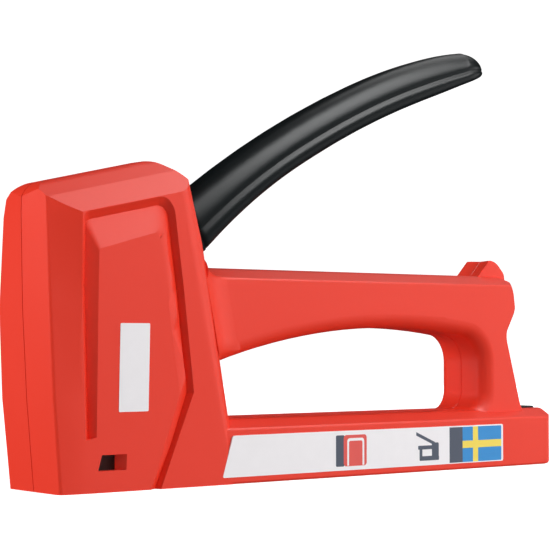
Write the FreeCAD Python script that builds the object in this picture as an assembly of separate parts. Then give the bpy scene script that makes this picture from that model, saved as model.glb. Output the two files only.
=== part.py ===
import FreeCAD, Part
import math
import os

from FreeCAD import Vector

# Hand staple gun. Millimetres, +Z up, +X towards the rear end, Y across. The origin is the staple exit:
# the middle of the driver blade's stroke line, where it meets the plane of the base's underside.

# ---- clearances ----------------------------------------------------------------------------------
RUN = 0.05            # radial clearance of a pin that turns in a bore
SLIDE = 0.15          # flat faces that slide on each other
FREE = 0.4            # moving pieces that pass without touching
REVEAL = 0.3          # width of the seam between the two halves

# ---- base ----------------------------------------------------------------------------------------
BASE_FRONT = 20.0     # where the base leaves the head
BASE_REAR = 186.0     # rear end, at the base plane
BASE_HALF = 14.2      # half width
BASE_SIDE = 15.8      # height of the flat side
BASE_TOP = 18.5       # height of the flat top
BASE_TOP_HALF = 9.6   # half width of the flat top
BASE_WALL = 2.4
UNDER_HALF = 9.0      # half width of the opening along the underside

# ---- head ----------------------------------------------------------------------------------------
HEAD_FRONT = 5.0      # nose ahead of the blade, at the base plane
HEAD_BULGE = 4.4      # how much further the nose reaches at the top
NOSE_CORNER = -4.9    # X of the nose's corners at the base plane
NOSE_SWELL = 3.7      # how much further forward the corners reach at half height
CORNER_IN = 0.8       # corners inside the sides, at the base plane
CORNER_TAPER = 3.8    # and how much more at CORNER_TAPER_Z
CORNER_TAPER_Z = 74.0
RIDGE_X = 3.5         # X where the nose's chamfer meets the side, at the base plane
HEAD_TOP = 86.2       # top of the head above the blade
HEAD_RISE = 0.228     # slope of the top, rising to the rear
HEAD_REAR = 57.0      # rear face where it would meet the base plane
HEAD_LEAN = 0.209     # forward lean of the rear face
SIDE_FLARE = 0.029    # the sides spread a little towards the top
CROWN_HALF = 11.0     # half width of the arched top
CROWN_DROP = 4.6
CHAMFER_SLOPE = 1.1   # fall of the chamfer along the top, per millimetre across
HEAD_WALL = 3.9
TOP_WALL = 3.0
REAR_WALL = 2.6
REAR_CORNER = 6.0     # rounding of the head's rear corners
TOP_CORNER = 11.5     # rounding where the top turns down to the rear
FRONT_CORNER = 8.0    # rounding where the nose turns over into the top

# ---- relief on the sides of the head -------------------------------------------------------------
GROOVE_DEPTH = 2.0
GROOVE_FOOT = 14.2    # height where the front groove ends

# ---- handle and rear leg -------------------------------------------------------------------------
HANDLE_HALF = 11.0
HANDLE_TOP = 62.5
SHOULDER = 59.2       # height of the handle's upper edges
HANDLE_REAR = 172.4
LEG_FRONT = 157.4     # front wall of the rear leg
LEG_WAIST = 169.4     # narrowest place of the leg's rear outline
LEG_FOOT = 176.1      # the leg's rear outline just above the base
GRIP_CORNER = 9.0     # rounding of the opening's upper rear corner
GRIP_ARC = 225.0      # radius of the arch above the fingers
GRIP_ARC_X = 118.0
GRIP_TOP = 45.0
GRIP_ROUND = 4.6      # rounding where the hand closes
HANDLE_WALL = 2.6
RIB = 1.6             # thickness of inner ribs

# ---- rest for the squeezed lever -----------------------------------------------------------------
REST_FRONT = 157.4
REST_RUN = 8.2        # the front face's lean
REST_REAR = 173.0
REST_HALF = 5.2
REST_TOP = 67.6
REST_SCOOP = 12.0     # radius of the hollow in its front face

# ---- lever ---------------------------------------------------------------------------------------
PIVOT_X = 36.5
PIVOT_Z = 63.0
PIN_R = 3.0
LEVER_HALF = 8.8
SKIRT_PROUD = 0.45    # the lever's sides stand proud below the crease
LEVER_WALL = 2.4
BARREL_R = 6.6
SPINE_ROUND = 6.0
LEVER_REAR = 166.0
SQUEEZE_DEG = 27.0

# ---- steel arm that lifts the hammer -------------------------------------------------------------
ARM_IN = 2.7          # inner and outer face of each plate
ARM_OUT = 4.7
ARM_RIVET = (76.0, 97.0)  # with the pivot pin it fixes the arm in the lever
RIVET_R = 1.6
LIFT_X = 12.0         # lifting pin, lever released
LIFT_Z = 48.0
LIFT_PIN_R = 2.0

# ---- hammer and blade ----------------------------------------------------------------------------
BLADE_HALF = 5.6
BLADE_THICK = 0.8
BLADE_TIP = 0.8
HAMMER_HALF = 7.5
HAMMER_LOW = 45.0
HAMMER_SEAT = 58.0    # where the power spring stands
HAMMER_WEB = 3.5      # thickness of the cross web behind the blade
FIN_HALF = 2.2
SPRING_X = 5.0
SPRING_R = 5.3        # mean radius
SPRING_WIRE = 0.95    # wire radius
SPRING_TURNS = 4.0
LUG_Z = (50.0, 53.0)   # the hammer's lugs stand in two windows of the blade
LUG_Y = (2.4, 4.4)
CAP_LOW = 79.2        # underside of the spring's upper seat
CAP_HIGH = 81.0

# ---- magazine ------------------------------------------------------------------------------------
SHEET = 1.0           # sheet steel
CHANNEL_HALF = 7.2
CHANNEL_LOW = 0.6
CHANNEL_TOP = 13.6
CHANNEL_REAR = 166.0
FLANGE_HALF = 9.6
RAIL_HALF = 4.9
RAIL_TOP = 8.6
STAPLE_HALF = 5.65
STAPLE_LEG = 8.0
STAPLE_WIRE = 0.7
STAPLE_PITCH = 0.72
STRIP_FRONT = 0.6
STRIP_LENGTH = 50.4
PUSHER_LENGTH = 14.0
ROD_R = 1.5
ROD_Z = 5.2
PUSH_SPRING_R = 2.3
PUSH_SPRING_WIRE = 0.35
END_FRONT = 167.0     # the black end piece of the magazine
END_REAR = 185.2
END_HALF = 11.4
END_TOP = 13.6
LATCH_HALF = 7.2
LATCH_FRONT = 172.4
LATCH_REAR = 184.4
LATCH_TOP = 19.1
LATCH_PRESS = 1.2

# ---- screws: place in X and Z, and half width of the housing there -------------------------------
SCREWS = ((21.0, 75.0), (22.0, 31.0), (100.0, 53.5), (163.5, 30.0))
SCREW_R = 1.5
SCREW_HEAD_R = 3.0
SCREW_HEAD = 1.9
SCREW_SINK = 3.4      # depth of the head's seat below the side
SCREW_TIP = -7.0
BOSS_R = 4.4          # reach of a screw boss to its edges


# ---- small helpers -------------------------------------------------------------------------------

def vec(x, y, z):
    return Vector(x, y, z)


def rounded_wire(corners, place):
    """Closed wire through corners (u, v, radius), each rounded by an arc. place(u, v) is a point in space."""
    stops = []
    for i, (u, v, radius) in enumerate(corners):
        here = Vector(u, v, 0)
        before = Vector(*corners[i - 1][:2], 0) - here
        after = Vector(*corners[(i + 1) % len(corners)][:2], 0) - here
        before.normalize()
        after.normalize()
        if radius <= 0:
            stops.append((here, None, here))
            continue
        half = before.getAngle(after) / 2
        middle = before + after
        middle.normalize()
        reach = radius / math.tan(half)
        bulge = radius / math.sin(half) - radius
        stops.append((here + before * reach, here + middle * bulge, here + after * reach))
    edges = []
    for i, (start, middle, end) in enumerate(stops):
        last = stops[i - 1][2]
        if (start - last).Length > 1e-6:
            edges.append(Part.makeLine(place(last.x, last.y), place(start.x, start.y)))
        if middle is not None:
            edges.append(Part.Arc(*[place(p.x, p.y) for p in (start, middle, end)]).toShape())
    return Part.Wire(edges)


def side_prism(corners, half, low=None):
    """Prism of an outline in X and Z, from low (or -half) to half across."""
    low = -half if low is None else low
    return Part.Face(rounded_wire(corners, lambda x, z: vec(x, low, z))).extrude(vec(0, half - low, 0))


def front_prism(corners, start, end, rise=0.0):
    """Prism of an outline in Y and Z, from start to end along X, rising by rise per millimetre."""
    face = Part.Face(rounded_wire(corners, lambda y, z: vec(start, y, z)))
    return face.extrude(vec(end - start, 0, (end - start) * rise))


def plan_prism(corners, low, high):
    """Prism of an outline in X and Y, from low to high."""
    return Part.Face(rounded_wire(corners, lambda x, y: vec(x, y, low))).extrude(vec(0, 0, high - low))


def block(x0, x1, y0, y1, z0, z1):
    return Part.makeBox(x1 - x0, y1 - y0, z1 - z0, vec(x0, y0, z0))


def across(x, z, radius, y0, y1):
    """Cylinder along Y."""
    return Part.makeCylinder(radius, y1 - y0, vec(x, y0, z), vec(0, 1, 0))


def fuse(shapes):
    return shapes[0].multiFuse(shapes[1:]).removeSplitter()


def column(x, z, reach, y0, y1):
    """Six-sided column along Y, reach from its middle to its edges."""
    turns = [math.pi * k / 3 for k in range(6)]
    return side_prism([(x + reach * math.cos(t), z + reach * math.sin(t), 0) for t in turns], y1, y0)


def span(side, inner, outer):
    """Low and high Y of a stretch from inner to outer on one side."""
    return (inner, outer) if side > 0 else (-outer, -inner)


def coil(radius, wire, height, turns, base, axis, steps=8, sides=4):
    """Coil spring from base along axis, between the faces at its ends. Its wire has steps a turn and sides round."""
    count = round(turns * steps)
    rings = []
    for i in range(count + 1):
        turn = 2 * math.pi * i / steps
        out = vec(math.cos(turn), math.sin(turn), 0)
        centre = out * radius + vec(0, 0, wire + (height - 2 * wire) * i / count)
        rolls = [2 * math.pi * (k + 0.5) / sides for k in range(sides)]
        rings.append([centre + out * (wire * math.cos(r)) + vec(0, 0, wire * math.sin(r)) for r in rolls])
    loops = [list(reversed(rings[0])), rings[-1]]
    for low, high in zip(rings, rings[1:]):
        for k in range(sides):
            after = (k + 1) % sides
            loops.append([low[k], low[after], high[k]])
            loops.append([low[after], high[after], high[k]])
    faces = [Part.Face(Part.makePolygon(loop + loop[:1])) for loop in loops]
    spring = Part.Solid(Part.Shell(faces))
    if spring.Volume < 0:
        spring.reverse()
    spring.Placement = FreeCAD.Placement(base, FreeCAD.Rotation(vec(0, 0, 1), axis))
    return spring


# ---- outer form of the housing -------------------------------------------------------------------

def side_y(z):
    """Half width of the head at a height."""
    return BASE_HALF + SIDE_FLARE * z


def nose_section(z, inset):
    """Plan of the head's blunt V and its chamfers at one height. Its sides and rear lie outside the head."""
    bow = 1 - (1 - z / 80) ** 2
    swell = 1 - (1 - z / 60) ** 2
    narrowing = CORNER_IN + CORNER_TAPER * (z / CORNER_TAPER_Z) ** 3
    corner = (NOSE_CORNER - NOSE_SWELL * swell + inset * 0.8, side_y(z) - narrowing - inset * 0.9)
    ridge = (RIDGE_X * (1 - z / 75) ** 2 + inset * 0.5, side_y(z) - inset)
    out = (2 * ridge[0] - corner[0], 2 * ridge[1] - corner[1])
    front = -HEAD_FRONT - HEAD_BULGE * bow + inset
    half = [(front, 0, 0 if inset else 2.0), (*corner, 0 if inset else 1.0), (*out, 0), (80, 40, 0)]
    corners = [(x, -y, r) for x, y, r in half] + [(x, y, r) for x, y, r in reversed(half[1:])]
    return rounded_wire(corners, lambda x, y: vec(x, y, z))


def head(inset=0.0, top_wall=0.0, rear_wall=0.0):
    """The head's block. With insets it is the hollow inside."""
    rear = HEAD_REAR - rear_wall
    half = [(side_y(0) - inset, 0, 0), (side_y(100) - inset, 100, 0)]
    sides = front_prism([(-y, z, r) for y, z, r in half] + list(reversed(half)), -20, 70)
    body = sides.common(side_prism([(-20, 0, 0), (-20, 100, 0), (rear - HEAD_LEAN * 100, 100, 0),
                                    (rear, 0, 0)], 30))
    if not inset:
        body = body.makeFillet(REAR_CORNER,
                               [e for e in body.Edges if e.CenterOfMass.x > 40 and e.Length > 90])
    heights = (0, 90) if inset else (0, 25, 50, 75, 100)
    nose = Part.makeLoft([nose_section(z, inset) for z in heights], True, True)
    top = HEAD_TOP - top_wall
    start = -14.0
    z = top + HEAD_RISE * start
    foot_half = side_y(HEAD_TOP) + 2
    foot_z = z - CROWN_DROP - CHAMFER_SLOPE * (foot_half - CROWN_HALF)
    soft = 0 if inset else 1
    half = [(foot_half, -60, 0), (foot_half, foot_z, 0), (CROWN_HALF, z - CROWN_DROP, 3.0 * soft),
            (5.0, z - 0.6, 8.0 * soft)]
    roof = front_prism([(-y, h, r) for y, h, r in half] + list(reversed(half)), start, 61, HEAD_RISE)
    corner_z = (top + HEAD_RISE * rear) / (1 + HEAD_RISE * HEAD_LEAN)
    front = -HEAD_FRONT - HEAD_BULGE + inset
    outline = side_prism([
        (front - 3, -5, 0),
        (front - 0.3, top + HEAD_RISE * front - 0.4, FRONT_CORNER),
        (rear - HEAD_LEAN * corner_z, corner_z - 0.4, TOP_CORNER - rear_wall),
        (rear + HEAD_LEAN * 5, -5, 0),
    ], 30)
    return body.common(nose).common(roof).common(outline)


def base_section(inset):
    """Cross-section of the base: flat sides, sloping shoulders, flat top."""
    half = [
        (BASE_HALF - inset, inset, 0.8),
        (BASE_HALF - inset, BASE_SIDE - inset / 2, 1.0),
        (BASE_TOP_HALF - inset / 2, BASE_TOP - inset, 4.0),
    ]
    if inset:
        half = [(y, z, 0) for y, z, r in half]
    return [(-y, z, r) for y, z, r in half] + list(reversed(half))


def base():
    """Base behind the nose, with rounded rear corners."""
    rear = side_prism([
        (0, 0, 0),
        (0, 30, 0),
        (BASE_REAR - 1.6, 30, 0),
        (BASE_REAR - 1.0, BASE_TOP - 0.3, 2.4),
        (BASE_REAR + 0.2, 0, 4.0),
    ], 30)
    corners = plan_prism([
        (0, -BASE_HALF, 0),
        (BASE_REAR, -BASE_HALF, 3.0),
        (BASE_REAR, BASE_HALF, 3.0),
        (0, BASE_HALF, 0),
    ], -1, 40)
    return front_prism(base_section(0), BASE_FRONT, BASE_REAR + 4).common(rear).common(corners)


def grip_opening(grow=0.0):
    """The finger opening right through the tool. grow widens it, for the hollow beside it."""
    front = HEAD_REAR - HEAD_LEAN * BASE_TOP
    top = GRIP_TOP + 8
    walls = side_prism([
        (front + grow, BASE_TOP - grow, 6.0),
        (HEAD_REAR - HEAD_LEAN * top + grow, top, 0),
        (LEG_FRONT + grow, top, 0),
        (LEG_FRONT + grow, BASE_TOP - grow, 6.0),
    ], 30)
    arch = across(GRIP_ARC_X, GRIP_TOP - GRIP_ARC, GRIP_ARC + grow, -30, 30)
    opening = walls.common(arch)
    upper = [e for e in opening.Edges if e.CenterOfMass.z > 30 and abs(e.BoundBox.YLength - 60) < 0.1]
    rear = [e for e in upper if e.CenterOfMass.x > 100]
    return opening.makeFillet(GRIP_CORNER, rear)


def handle_outline(inset):
    """Side outline of handle and rear leg."""
    return [
        (40, HANDLE_TOP - inset, 0),
        (HANDLE_REAR - inset, HANDLE_TOP - inset, 7.0),
        (HANDLE_REAR + 1.6 - inset, 51.0, 5.0),
        (LEG_WAIST - inset, 43.0, 5.0),
        (LEG_FOOT - inset, BASE_TOP + 1.4, 2.0),
        (LEG_FOOT + 2.5 - inset, BASE_TOP - 3, 0),
        (40, BASE_TOP - 3, 0),
    ]


def handle():
    """Handle bar and rear leg, with an arched top and rounded where the hand closes."""
    crown = front_prism([
        (-HANDLE_HALF, -5, 0), (-HANDLE_HALF, SHOULDER, 1.0), (-5, HANDLE_TOP - 0.2, 9.0),
        (5, HANDLE_TOP - 0.2, 9.0),
        (HANDLE_HALF, SHOULDER, 1.0), (HANDLE_HALF, -5, 0),
    ], 38, 190)
    body = side_prism(handle_outline(0), HANDLE_HALF)
    rear = [e for e in body.Edges if abs(abs(e.CenterOfMass.y) - HANDLE_HALF) < 0.01 and e.CenterOfMass.x > 165
            and BASE_TOP - 1 < e.CenterOfMass.z < HANDLE_TOP - 0.5]
    body = body.makeChamfer(2.2, rear)
    body = body.cut(grip_opening())
    rim = [e for e in body.Edges if abs(abs(e.CenterOfMass.y) - HANDLE_HALF) < 0.01 and 45 < e.CenterOfMass.x < 160
           and BASE_TOP - 1 < e.CenterOfMass.z < GRIP_TOP + 1]
    return body.makeFillet(GRIP_ROUND, rim).common(crown)


def lever_rest():
    """Raised rest on the handle, which ends the lever's stroke. Its front face is hollowed."""
    body = side_prism([
        (REST_FRONT, SHOULDER, 0),
        (REST_FRONT + REST_RUN, REST_TOP, 1.0),
        (REST_REAR - 4.4, REST_TOP - 0.5, 6.0),
        (REST_REAR - 0.6, REST_TOP - 4.4, 3.0),
        (REST_REAR, SHOULDER, 0),
    ], REST_HALF)
    run = vec(REST_RUN, 0, REST_TOP - SHOULDER)
    normal = vec(-run.z, 0, run.x)
    normal.normalize()
    axis = vec(REST_FRONT, 0, SHOULDER) - run + normal * (REST_SCOOP - 0.9)
    return body.cut(Part.makeCylinder(REST_SCOOP, 4 * run.Length, axis, run))


def outer_form():
    """Outside of the closed housing."""
    body = head().fuse(base()).cut(grip_opening())
    return fuse([body, handle(), lever_rest()])


# ---- relief and windows --------------------------------------------------------------------------

def on_side(side, depth):
    """Placement of a point (x, z) on the head's side, sunk by depth."""
    return lambda x, z: vec(x, side * (side_y(z) - depth), z)


def groove(side):
    """V-shaped groove round the raised panel on the head's side. It is open at the foot."""
    rim = [(2.6, GROOVE_FOOT - 1.2, 0), (0.3, 56, 0), (0.2, 75.6, 3.0), (29.6, 81.9, 5.0), (33.6, 56, 0),
           (37.8, 26.6, 0), (26.0, -3, 0)]
    valley = [(4.2, GROOVE_FOOT - 0.6, 0), (2.1, 56, 0), (2.1, 73.6, 2.0), (28.4, 79.3, 3.4), (32.4, 56, 0),
              (36.6, 26.4, 0), (25.2, -3, 0)]
    panel = [(5.8, GROOVE_FOOT, 0), (5.5, 50, 0), (5.5, 65.9, 1.0), (26.2, 71.2, 1.6), (30.6, 52, 0),
             (35.8, 26.2, 0), (24.8, -3, 0)]
    place = [on_side(side, d) for d in (-0.6, GROOVE_DEPTH, 0.0)]
    reach = 0.6 / GROOVE_DEPTH
    outer = [(r[0] + (r[0] - v[0]) * reach, r[1] + (r[1] - v[1]) * reach, r[2]) for r, v in zip(rim, valley)]
    pocket = Part.makeLoft([rounded_wire(outer, place[0]), rounded_wire(valley, place[1])], True, True)
    raised = [(p[0] + (p[0] - v[0]) * reach, p[1] + (p[1] - v[1]) * reach, p[2]) for p,
              v in zip(panel, valley)]
    centre = Part.makeLoft([rounded_wire(raised, place[0]), rounded_wire(valley, place[1])], True, True)
    foot = side_prism([(-5, GROOVE_FOOT - 1, 0), (7, GROOVE_FOOT + 1, 0), (23, 2, 0), (23, -5, 0),
                       (-5, -5, 0)], 30)
    return pocket.cut(centre).cut(foot)


def window(side):
    """Slanted sight window over the staples, with a ramp behind it."""
    half = BASE_HALF + 1
    low, high = span(side, CHANNEL_HALF + 0.2, half)
    hole = side_prism([(6.4, 5.9, 0.3), (7.6, 10.2, 0.3), (11.9, 10.2, 0), (11.3, 5.9, 0)], high, low)
    ramp = plan_prism([(11.0, side * 9.0, 0), (16.3, side * half, 0), (11.0, side * (half + 1), 0)], 5.0,
                      11.0)
    slant = side_prism([(10.4, 5.9, 0), (11.6, 10.2, 0), (16.2, 10.2, 0.3), (15.6, 5.9, 0.3)], high, low)
    return hole.fuse(ramp.common(slant))


# ---- hollow and inner structure of the housing ---------------------------------------------------

def handle_hollow():
    """Room inside handle and rear leg."""
    half = HANDLE_HALF - HANDLE_WALL
    low = BASE_SIDE - 2
    rear = [(HANDLE_REAR - 4.5, SHOULDER - HANDLE_WALL, 0), (HANDLE_REAR - 1.6, 51, 0),
            (LEG_WAIST - HANDLE_WALL, 43, 0),
            (HANDLE_REAR, low, 0)]
    bar = side_prism([(44, 30, 0), (44, SHOULDER - HANDLE_WALL, 0)] + rear + [(160, low, 0),
                                                                              (160, 30, 0)], half)
    bar = bar.cut(across(GRIP_ARC_X, GRIP_TOP - GRIP_ARC, GRIP_ARC + GRIP_ROUND, -half, half))
    leg = side_prism([(LEG_FRONT + GRIP_ROUND, low, 0),
                      (LEG_FRONT + GRIP_ROUND, GRIP_TOP, 0)] + rear[2:], half)
    return bar.fuse(leg)


def hollow():
    """Everything that is empty inside the closed housing."""
    chamber = head(HEAD_WALL, TOP_WALL, REAR_WALL)
    lift = block(-20, 70, -30, 30, BASE_WALL, 100)
    runway = front_prism(base_section(BASE_WALL), 3, BASE_REAR + 5).cut(block(0, 60, -30, 30, BASE_TOP, 40))
    return fuse([chamber.common(lift), runway, handle_hollow().cut(block(0, 50, -30, 30, 0, 30))])


def underside():
    """Opening along the underside, for the channel and the nose guide."""
    guide = block(-2.2, 3.5, -CHANNEL_HALF - 0.1, CHANNEL_HALF + 0.1, -1, 44.2)
    return block(0.6, BASE_REAR + 5, -UNDER_HALF, UNDER_HALF, -1, BASE_WALL + 1).fuse(guide)


def lever_slot():
    """Opening at the back of the head and round the pivot, for the lever's swing."""
    half = LEVER_HALF + SKIRT_PROUD + FREE
    gate = block(PIVOT_X, 60, -half, half, PIVOT_Z, 83.4)
    return gate.fuse(across(PIVOT_X, PIVOT_Z, 10.4, -half, half))


def rear_gate():
    """Way out for the magazine at the rear, and the notch above it for the latch."""
    notch = block(LATCH_FRONT - 0.6, BASE_REAR + 5, -LATCH_HALF - FREE, LATCH_HALF + FREE, 10, 30)
    door = block(END_FRONT, BASE_REAR + 5, -END_HALF - 0.3, END_HALF + 0.3, BASE_WALL - 2, END_TOP + 0.3)
    return notch.fuse(door)


def seam(outer):
    """Fine shadow line where the halves meet, all round the outside."""
    core = fuse([head(0.8, 0.8, 0.8), front_prism(base_section(0.8), 0, BASE_REAR - 1)])
    slab = block(-20, 52, -REVEAL / 2, REVEAL / 2, -5, 100)
    return slab.cut(core)


def inner_structure():
    """Ribs, shelves and bosses of both halves, before they are cut to the outer form."""
    ribs = []
    for x in (34, 62, 90, 118, 146):
        for side in (-1, 1):
            low, high = span(side, CHANNEL_HALF, BASE_HALF - 1)
            ribs.append(block(x, x + RIB, low, high, 1.0, CHANNEL_TOP - SHEET))
            low, high = span(side, 0, BASE_HALF - 1)
            ribs.append(block(x, x + RIB, low, high, CHANNEL_TOP, BASE_TOP - 1))
    for x in (70, 128):
        ribs.append(block(x, x + RIB, -HANDLE_HALF + 1, HANDLE_HALF - 1, GRIP_TOP - 3, SHOULDER - 1))
    shelf = block(1.8, 9.0, -13, 13, 37.5, 40.0)
    ceiling = block(SPRING_X - 7.5, SPRING_X + 7.5, -7.5, 7.5, CAP_HIGH, 95)
    guides = []
    for side in (-1, 1):
        low, high = span(side, HAMMER_HALF + FREE, 15)
        guides.append(block(-1.0, 0.6, low, high, HAMMER_LOW, 76))
        guides.append(block(3.2, 4.8, low, high, HAMMER_LOW, 76))
    pivots = [column(PIVOT_X, PIVOT_Z, 8.0, *span(side, LEVER_HALF + 0.3, 15)) for side in (-1, 1)]
    return ribs + [shelf, ceiling] + guides + pivots


def screw_side(x, z):
    """Half width of the housing at a screw."""
    return side_y(z) if x < 45 else HANDLE_HALF


def housing(side, outer, inside):
    """One half of the housing, -1 the left and 1 the right, cut from the closed outer form."""
    half = block(-30, 220, *span(side, 0, 40), -10, 120)
    shell = outer.common(half).cut(inside)
    fill = Part.makeCompound([s.common(outer).common(half) for s in inner_structure()])
    bosses = [column(x, z, BOSS_R, *span(side, 0, screw_side(x, z) - 1)) for x, z in SCREWS]
    body = shell.multiFuse(fill.Solids + bosses)
    cuts = [groove(-1), groove(1), window(side), underside(), lever_slot(), rear_gate(), seam(outer)]
    cuts.append(across(PIVOT_X, PIVOT_Z, PIN_R, -12.4, 12.4))
    for x, z in SCREWS:
        seat = screw_side(x, z) - SCREW_SINK
        if side > 0:
            cuts.append(column(x, z, SCREW_R + 0.2, -1, seat + 1))
            cuts.append(across(x, z, SCREW_HEAD_R + 0.3, seat, 30))
        else:
            cuts.append(column(x, z, SCREW_R, SCREW_TIP - 0.5, 1))
    body = body.cut(Part.makeCompound(cuts))
    return max(body.Solids, key=lambda solid: solid.Volume)


def housing_screws():
    """Pan-head screws, driven from the right. Their threads are left out, and the shanks are six-sided."""
    screws = []
    for x, z in SCREWS:
        seat = screw_side(x, z) - SCREW_SINK
        head_disc = across(x, z, SCREW_HEAD_R, seat, seat + SCREW_HEAD)
        bits = [block(x - a, x + a, seat + 0.7, seat + 3, z - b, z + b) for a, b in ((1.6, 0.4), (0.4, 1.6))]
        screws.append(head_disc.fuse(column(x, z, SCREW_R, SCREW_TIP, seat)).cut(Part.makeCompound(bits)))
    return Part.makeCompound(screws)


# ---- lever ---------------------------------------------------------------------------------------

LEVER_BACK = [(39.2, 80.2, 0), (76.0, 106.7, 350), (124.2, 128.0, 220), (148.8, 135.2, 110)]
LEVER_TIP = [(165.5, 137.1, 9), (170.0, 131.6, 0)]
LEVER_BELLY = [(155.5, 126.5, 0), (109.2, 109.5, 310), (64.6, 84.6, 184), (45.4, 66.7, 0)]
CREASE = [(38.0, 76.6, 0), (87.6, 105.8, 330), (172.0, 136.0, 0)]


def sunk(corners, depth):
    """Corners of an outline's upper line, moved down by depth at right angles to it."""
    moved = []
    for i, (x, z, radius) in enumerate(corners):
        before = corners[max(i - 1, 0)]
        after = corners[min(i + 1, len(corners) - 1)]
        along = vec(after[0] - before[0], 0, after[1] - before[1])
        along.normalize()
        moved.append((x + along.z * depth, z - along.x * depth, max(radius - depth, 0)))
    return moved


def lever():
    """Squeeze lever: a long channel, open below, with a rounded spine, a crease and two ears on the pivot."""
    outline = LEVER_BACK + LEVER_TIP + LEVER_BELLY
    spine = side_prism(outline, LEVER_HALF)
    back = [e for e in spine.Edges if e.Length > 60 and abs(e.CenterOfMass.y) > 1 and e.CenterOfMass.z > 100]
    spine = spine.makeFillet(SPINE_ROUND, back)
    proud = LEVER_HALF + SKIRT_PROUD
    foot = PIVOT_Z - 3
    under_crease = side_prism(CREASE + [(LEVER_REAR + 2, 120, 0), (120, foot, 0), (38, foot, 0)], proud)
    skirt = side_prism(outline, proud).common(under_crease)
    round_end = plan_prism([(20, -proud, 0), (LEVER_REAR, -proud, proud - 0.2),
                            (LEVER_REAR, proud, proud - 0.2),
                            (20, proud, 0)], 40, 150)
    barrel = across(PIVOT_X, PIVOT_Z, BARREL_R, -LEVER_HALF, LEVER_HALF)
    root = side_prism([
        (PIVOT_X - BARREL_R, PIVOT_Z, 0), (PIVOT_X - BARREL_R + 1, PIVOT_Z + 4, 3.0), (39.2, 80.2, 0),
        (46.0, 84.0, 0),
        (45.6, 67.0, 0), (PIVOT_X + BARREL_R, PIVOT_Z, 0)], LEVER_HALF)
    body = fuse([spine.fuse(skirt).common(round_end), barrel, root])
    inner = LEVER_HALF - LEVER_WALL
    room = side_prism(sunk(LEVER_BACK, LEVER_WALL) + [(160.0, 134.4, 3.0), (161.6, 126.0, 0),
                                                      (150, 110, 0), (80, 66, 0),
                                                      (47, 50, 0)], inner)
    ear_gap = block(20, 47, -ARM_OUT - FREE, ARM_OUT + FREE, 50, 92)
    body = body.cut(room).cut(ear_gap)
    pads = [column(*ARM_RIVET, 4.4, *span(side, ARM_OUT, LEVER_HALF - 1)) for side in (-1, 1)]
    body = fuse([body] + pads)
    return body.cut(across(PIVOT_X, PIVOT_Z, PIN_R + RUN, -20, 20)).cut(arm_rivet())


# ---- arm, pins and hammer ------------------------------------------------------------------------

def lift_arm():
    """Two steel plates beside the hammer's fin. They run from the lifting pin past the pivot into the lever."""
    outline = [(LIFT_X - 1.6, LIFT_Z - 4.4, 2.4), (PIVOT_X + 5.4, PIVOT_Z - 4.6, 3.0), (44.4, 66.6, 0),
               (57.4, 77.4, 0),
               (84.4, 98.6, 2.0), (81.4, 103.4, 2.0), (50.0, 82.6, 0), (PIVOT_X - 2.6, PIVOT_Z + 7.0, 4.0),
               (LIFT_X - 5.0, LIFT_Z + 1.6, 2.4)]
    cut = Part.makeCompound([across(PIVOT_X, PIVOT_Z, PIN_R + RUN, -9, 9), lifting_pin(), arm_rivet()])
    return Part.makeCompound([side_prism(outline,
                                         *reversed(span(side, ARM_IN,
                                                        ARM_OUT))).cut(cut) for side in (-1, 1)])


def lifting_pin():
    """Pin between the ends of the arm's plates, pressed in flush."""
    return across(LIFT_X, LIFT_Z, LIFT_PIN_R, -ARM_OUT, ARM_OUT)


def arm_rivet():
    """Six-sided bar that holds the arm's plates between the lever's sides."""
    return column(*ARM_RIVET, RIVET_R, -LEVER_HALF + 1, LEVER_HALF - 1)


def pivot_pin():
    return across(PIVOT_X, PIVOT_Z, PIN_R, -12.4, 12.4)


def pin_travel():
    """Where the lifting pin stands when the lever is fully squeezed."""
    reach = math.hypot(PIVOT_X - LIFT_X, PIVOT_Z - LIFT_Z)
    angle = math.atan2(PIVOT_Z - LIFT_Z, PIVOT_X - LIFT_X) - math.radians(SQUEEZE_DEG)
    return PIVOT_X - reach * math.cos(angle), PIVOT_Z - reach * math.sin(angle)


def blade_lugs(grow):
    """The two lugs that carry the blade, or with grow its windows for them."""
    lugs = [block(-BLADE_THICK / 2, BLADE_THICK / 2 + 1, *span(side, LUG_Y[0] - grow, LUG_Y[1] + grow),
                  LUG_Z[0] - grow, LUG_Z[1] + grow) for side in (-1, 1)]
    return Part.makeCompound(lugs)


def hammer():
    """Hammer: web behind the blade, platform for the spring, and a fin with a slot for the lifting pin."""
    back = BLADE_THICK / 2 + HAMMER_WEB
    web = block(BLADE_THICK / 2, back, -HAMMER_HALF, HAMMER_HALF, HAMMER_LOW, HAMMER_SEAT)
    seat = block(SPRING_X - 6.6, SPRING_X + 6.6, -7, 7, HAMMER_SEAT - 2.5, HAMMER_SEAT)
    fin = side_prism([(2, HAMMER_LOW, 0), (2, HAMMER_SEAT - 1, 0), (SPRING_X + 6, HAMMER_SEAT - 1, 0),
                      (LIFT_X + 5, HAMMER_LOW + 7, 0), (LIFT_X + 5, HAMMER_LOW, 0)], FIN_HALF)
    stem = Part.makeCylinder(SPRING_R - SPRING_WIRE - 0.4, 7, vec(SPRING_X, 0, HAMMER_SEAT - 1))
    body = fuse([web, seat, fin, stem] + blade_lugs(0).Solids)
    left, right = pin_travel()[0], LIFT_X
    gap = LIFT_PIN_R + FREE
    slot = block(left - gap, right + gap, -FIN_HALF - 1, FIN_HALF + 1, LIFT_Z - gap, LIFT_Z + gap)
    return body.cut(slot.common(block(back, 40, -20, 20, 0, 100)))


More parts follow.
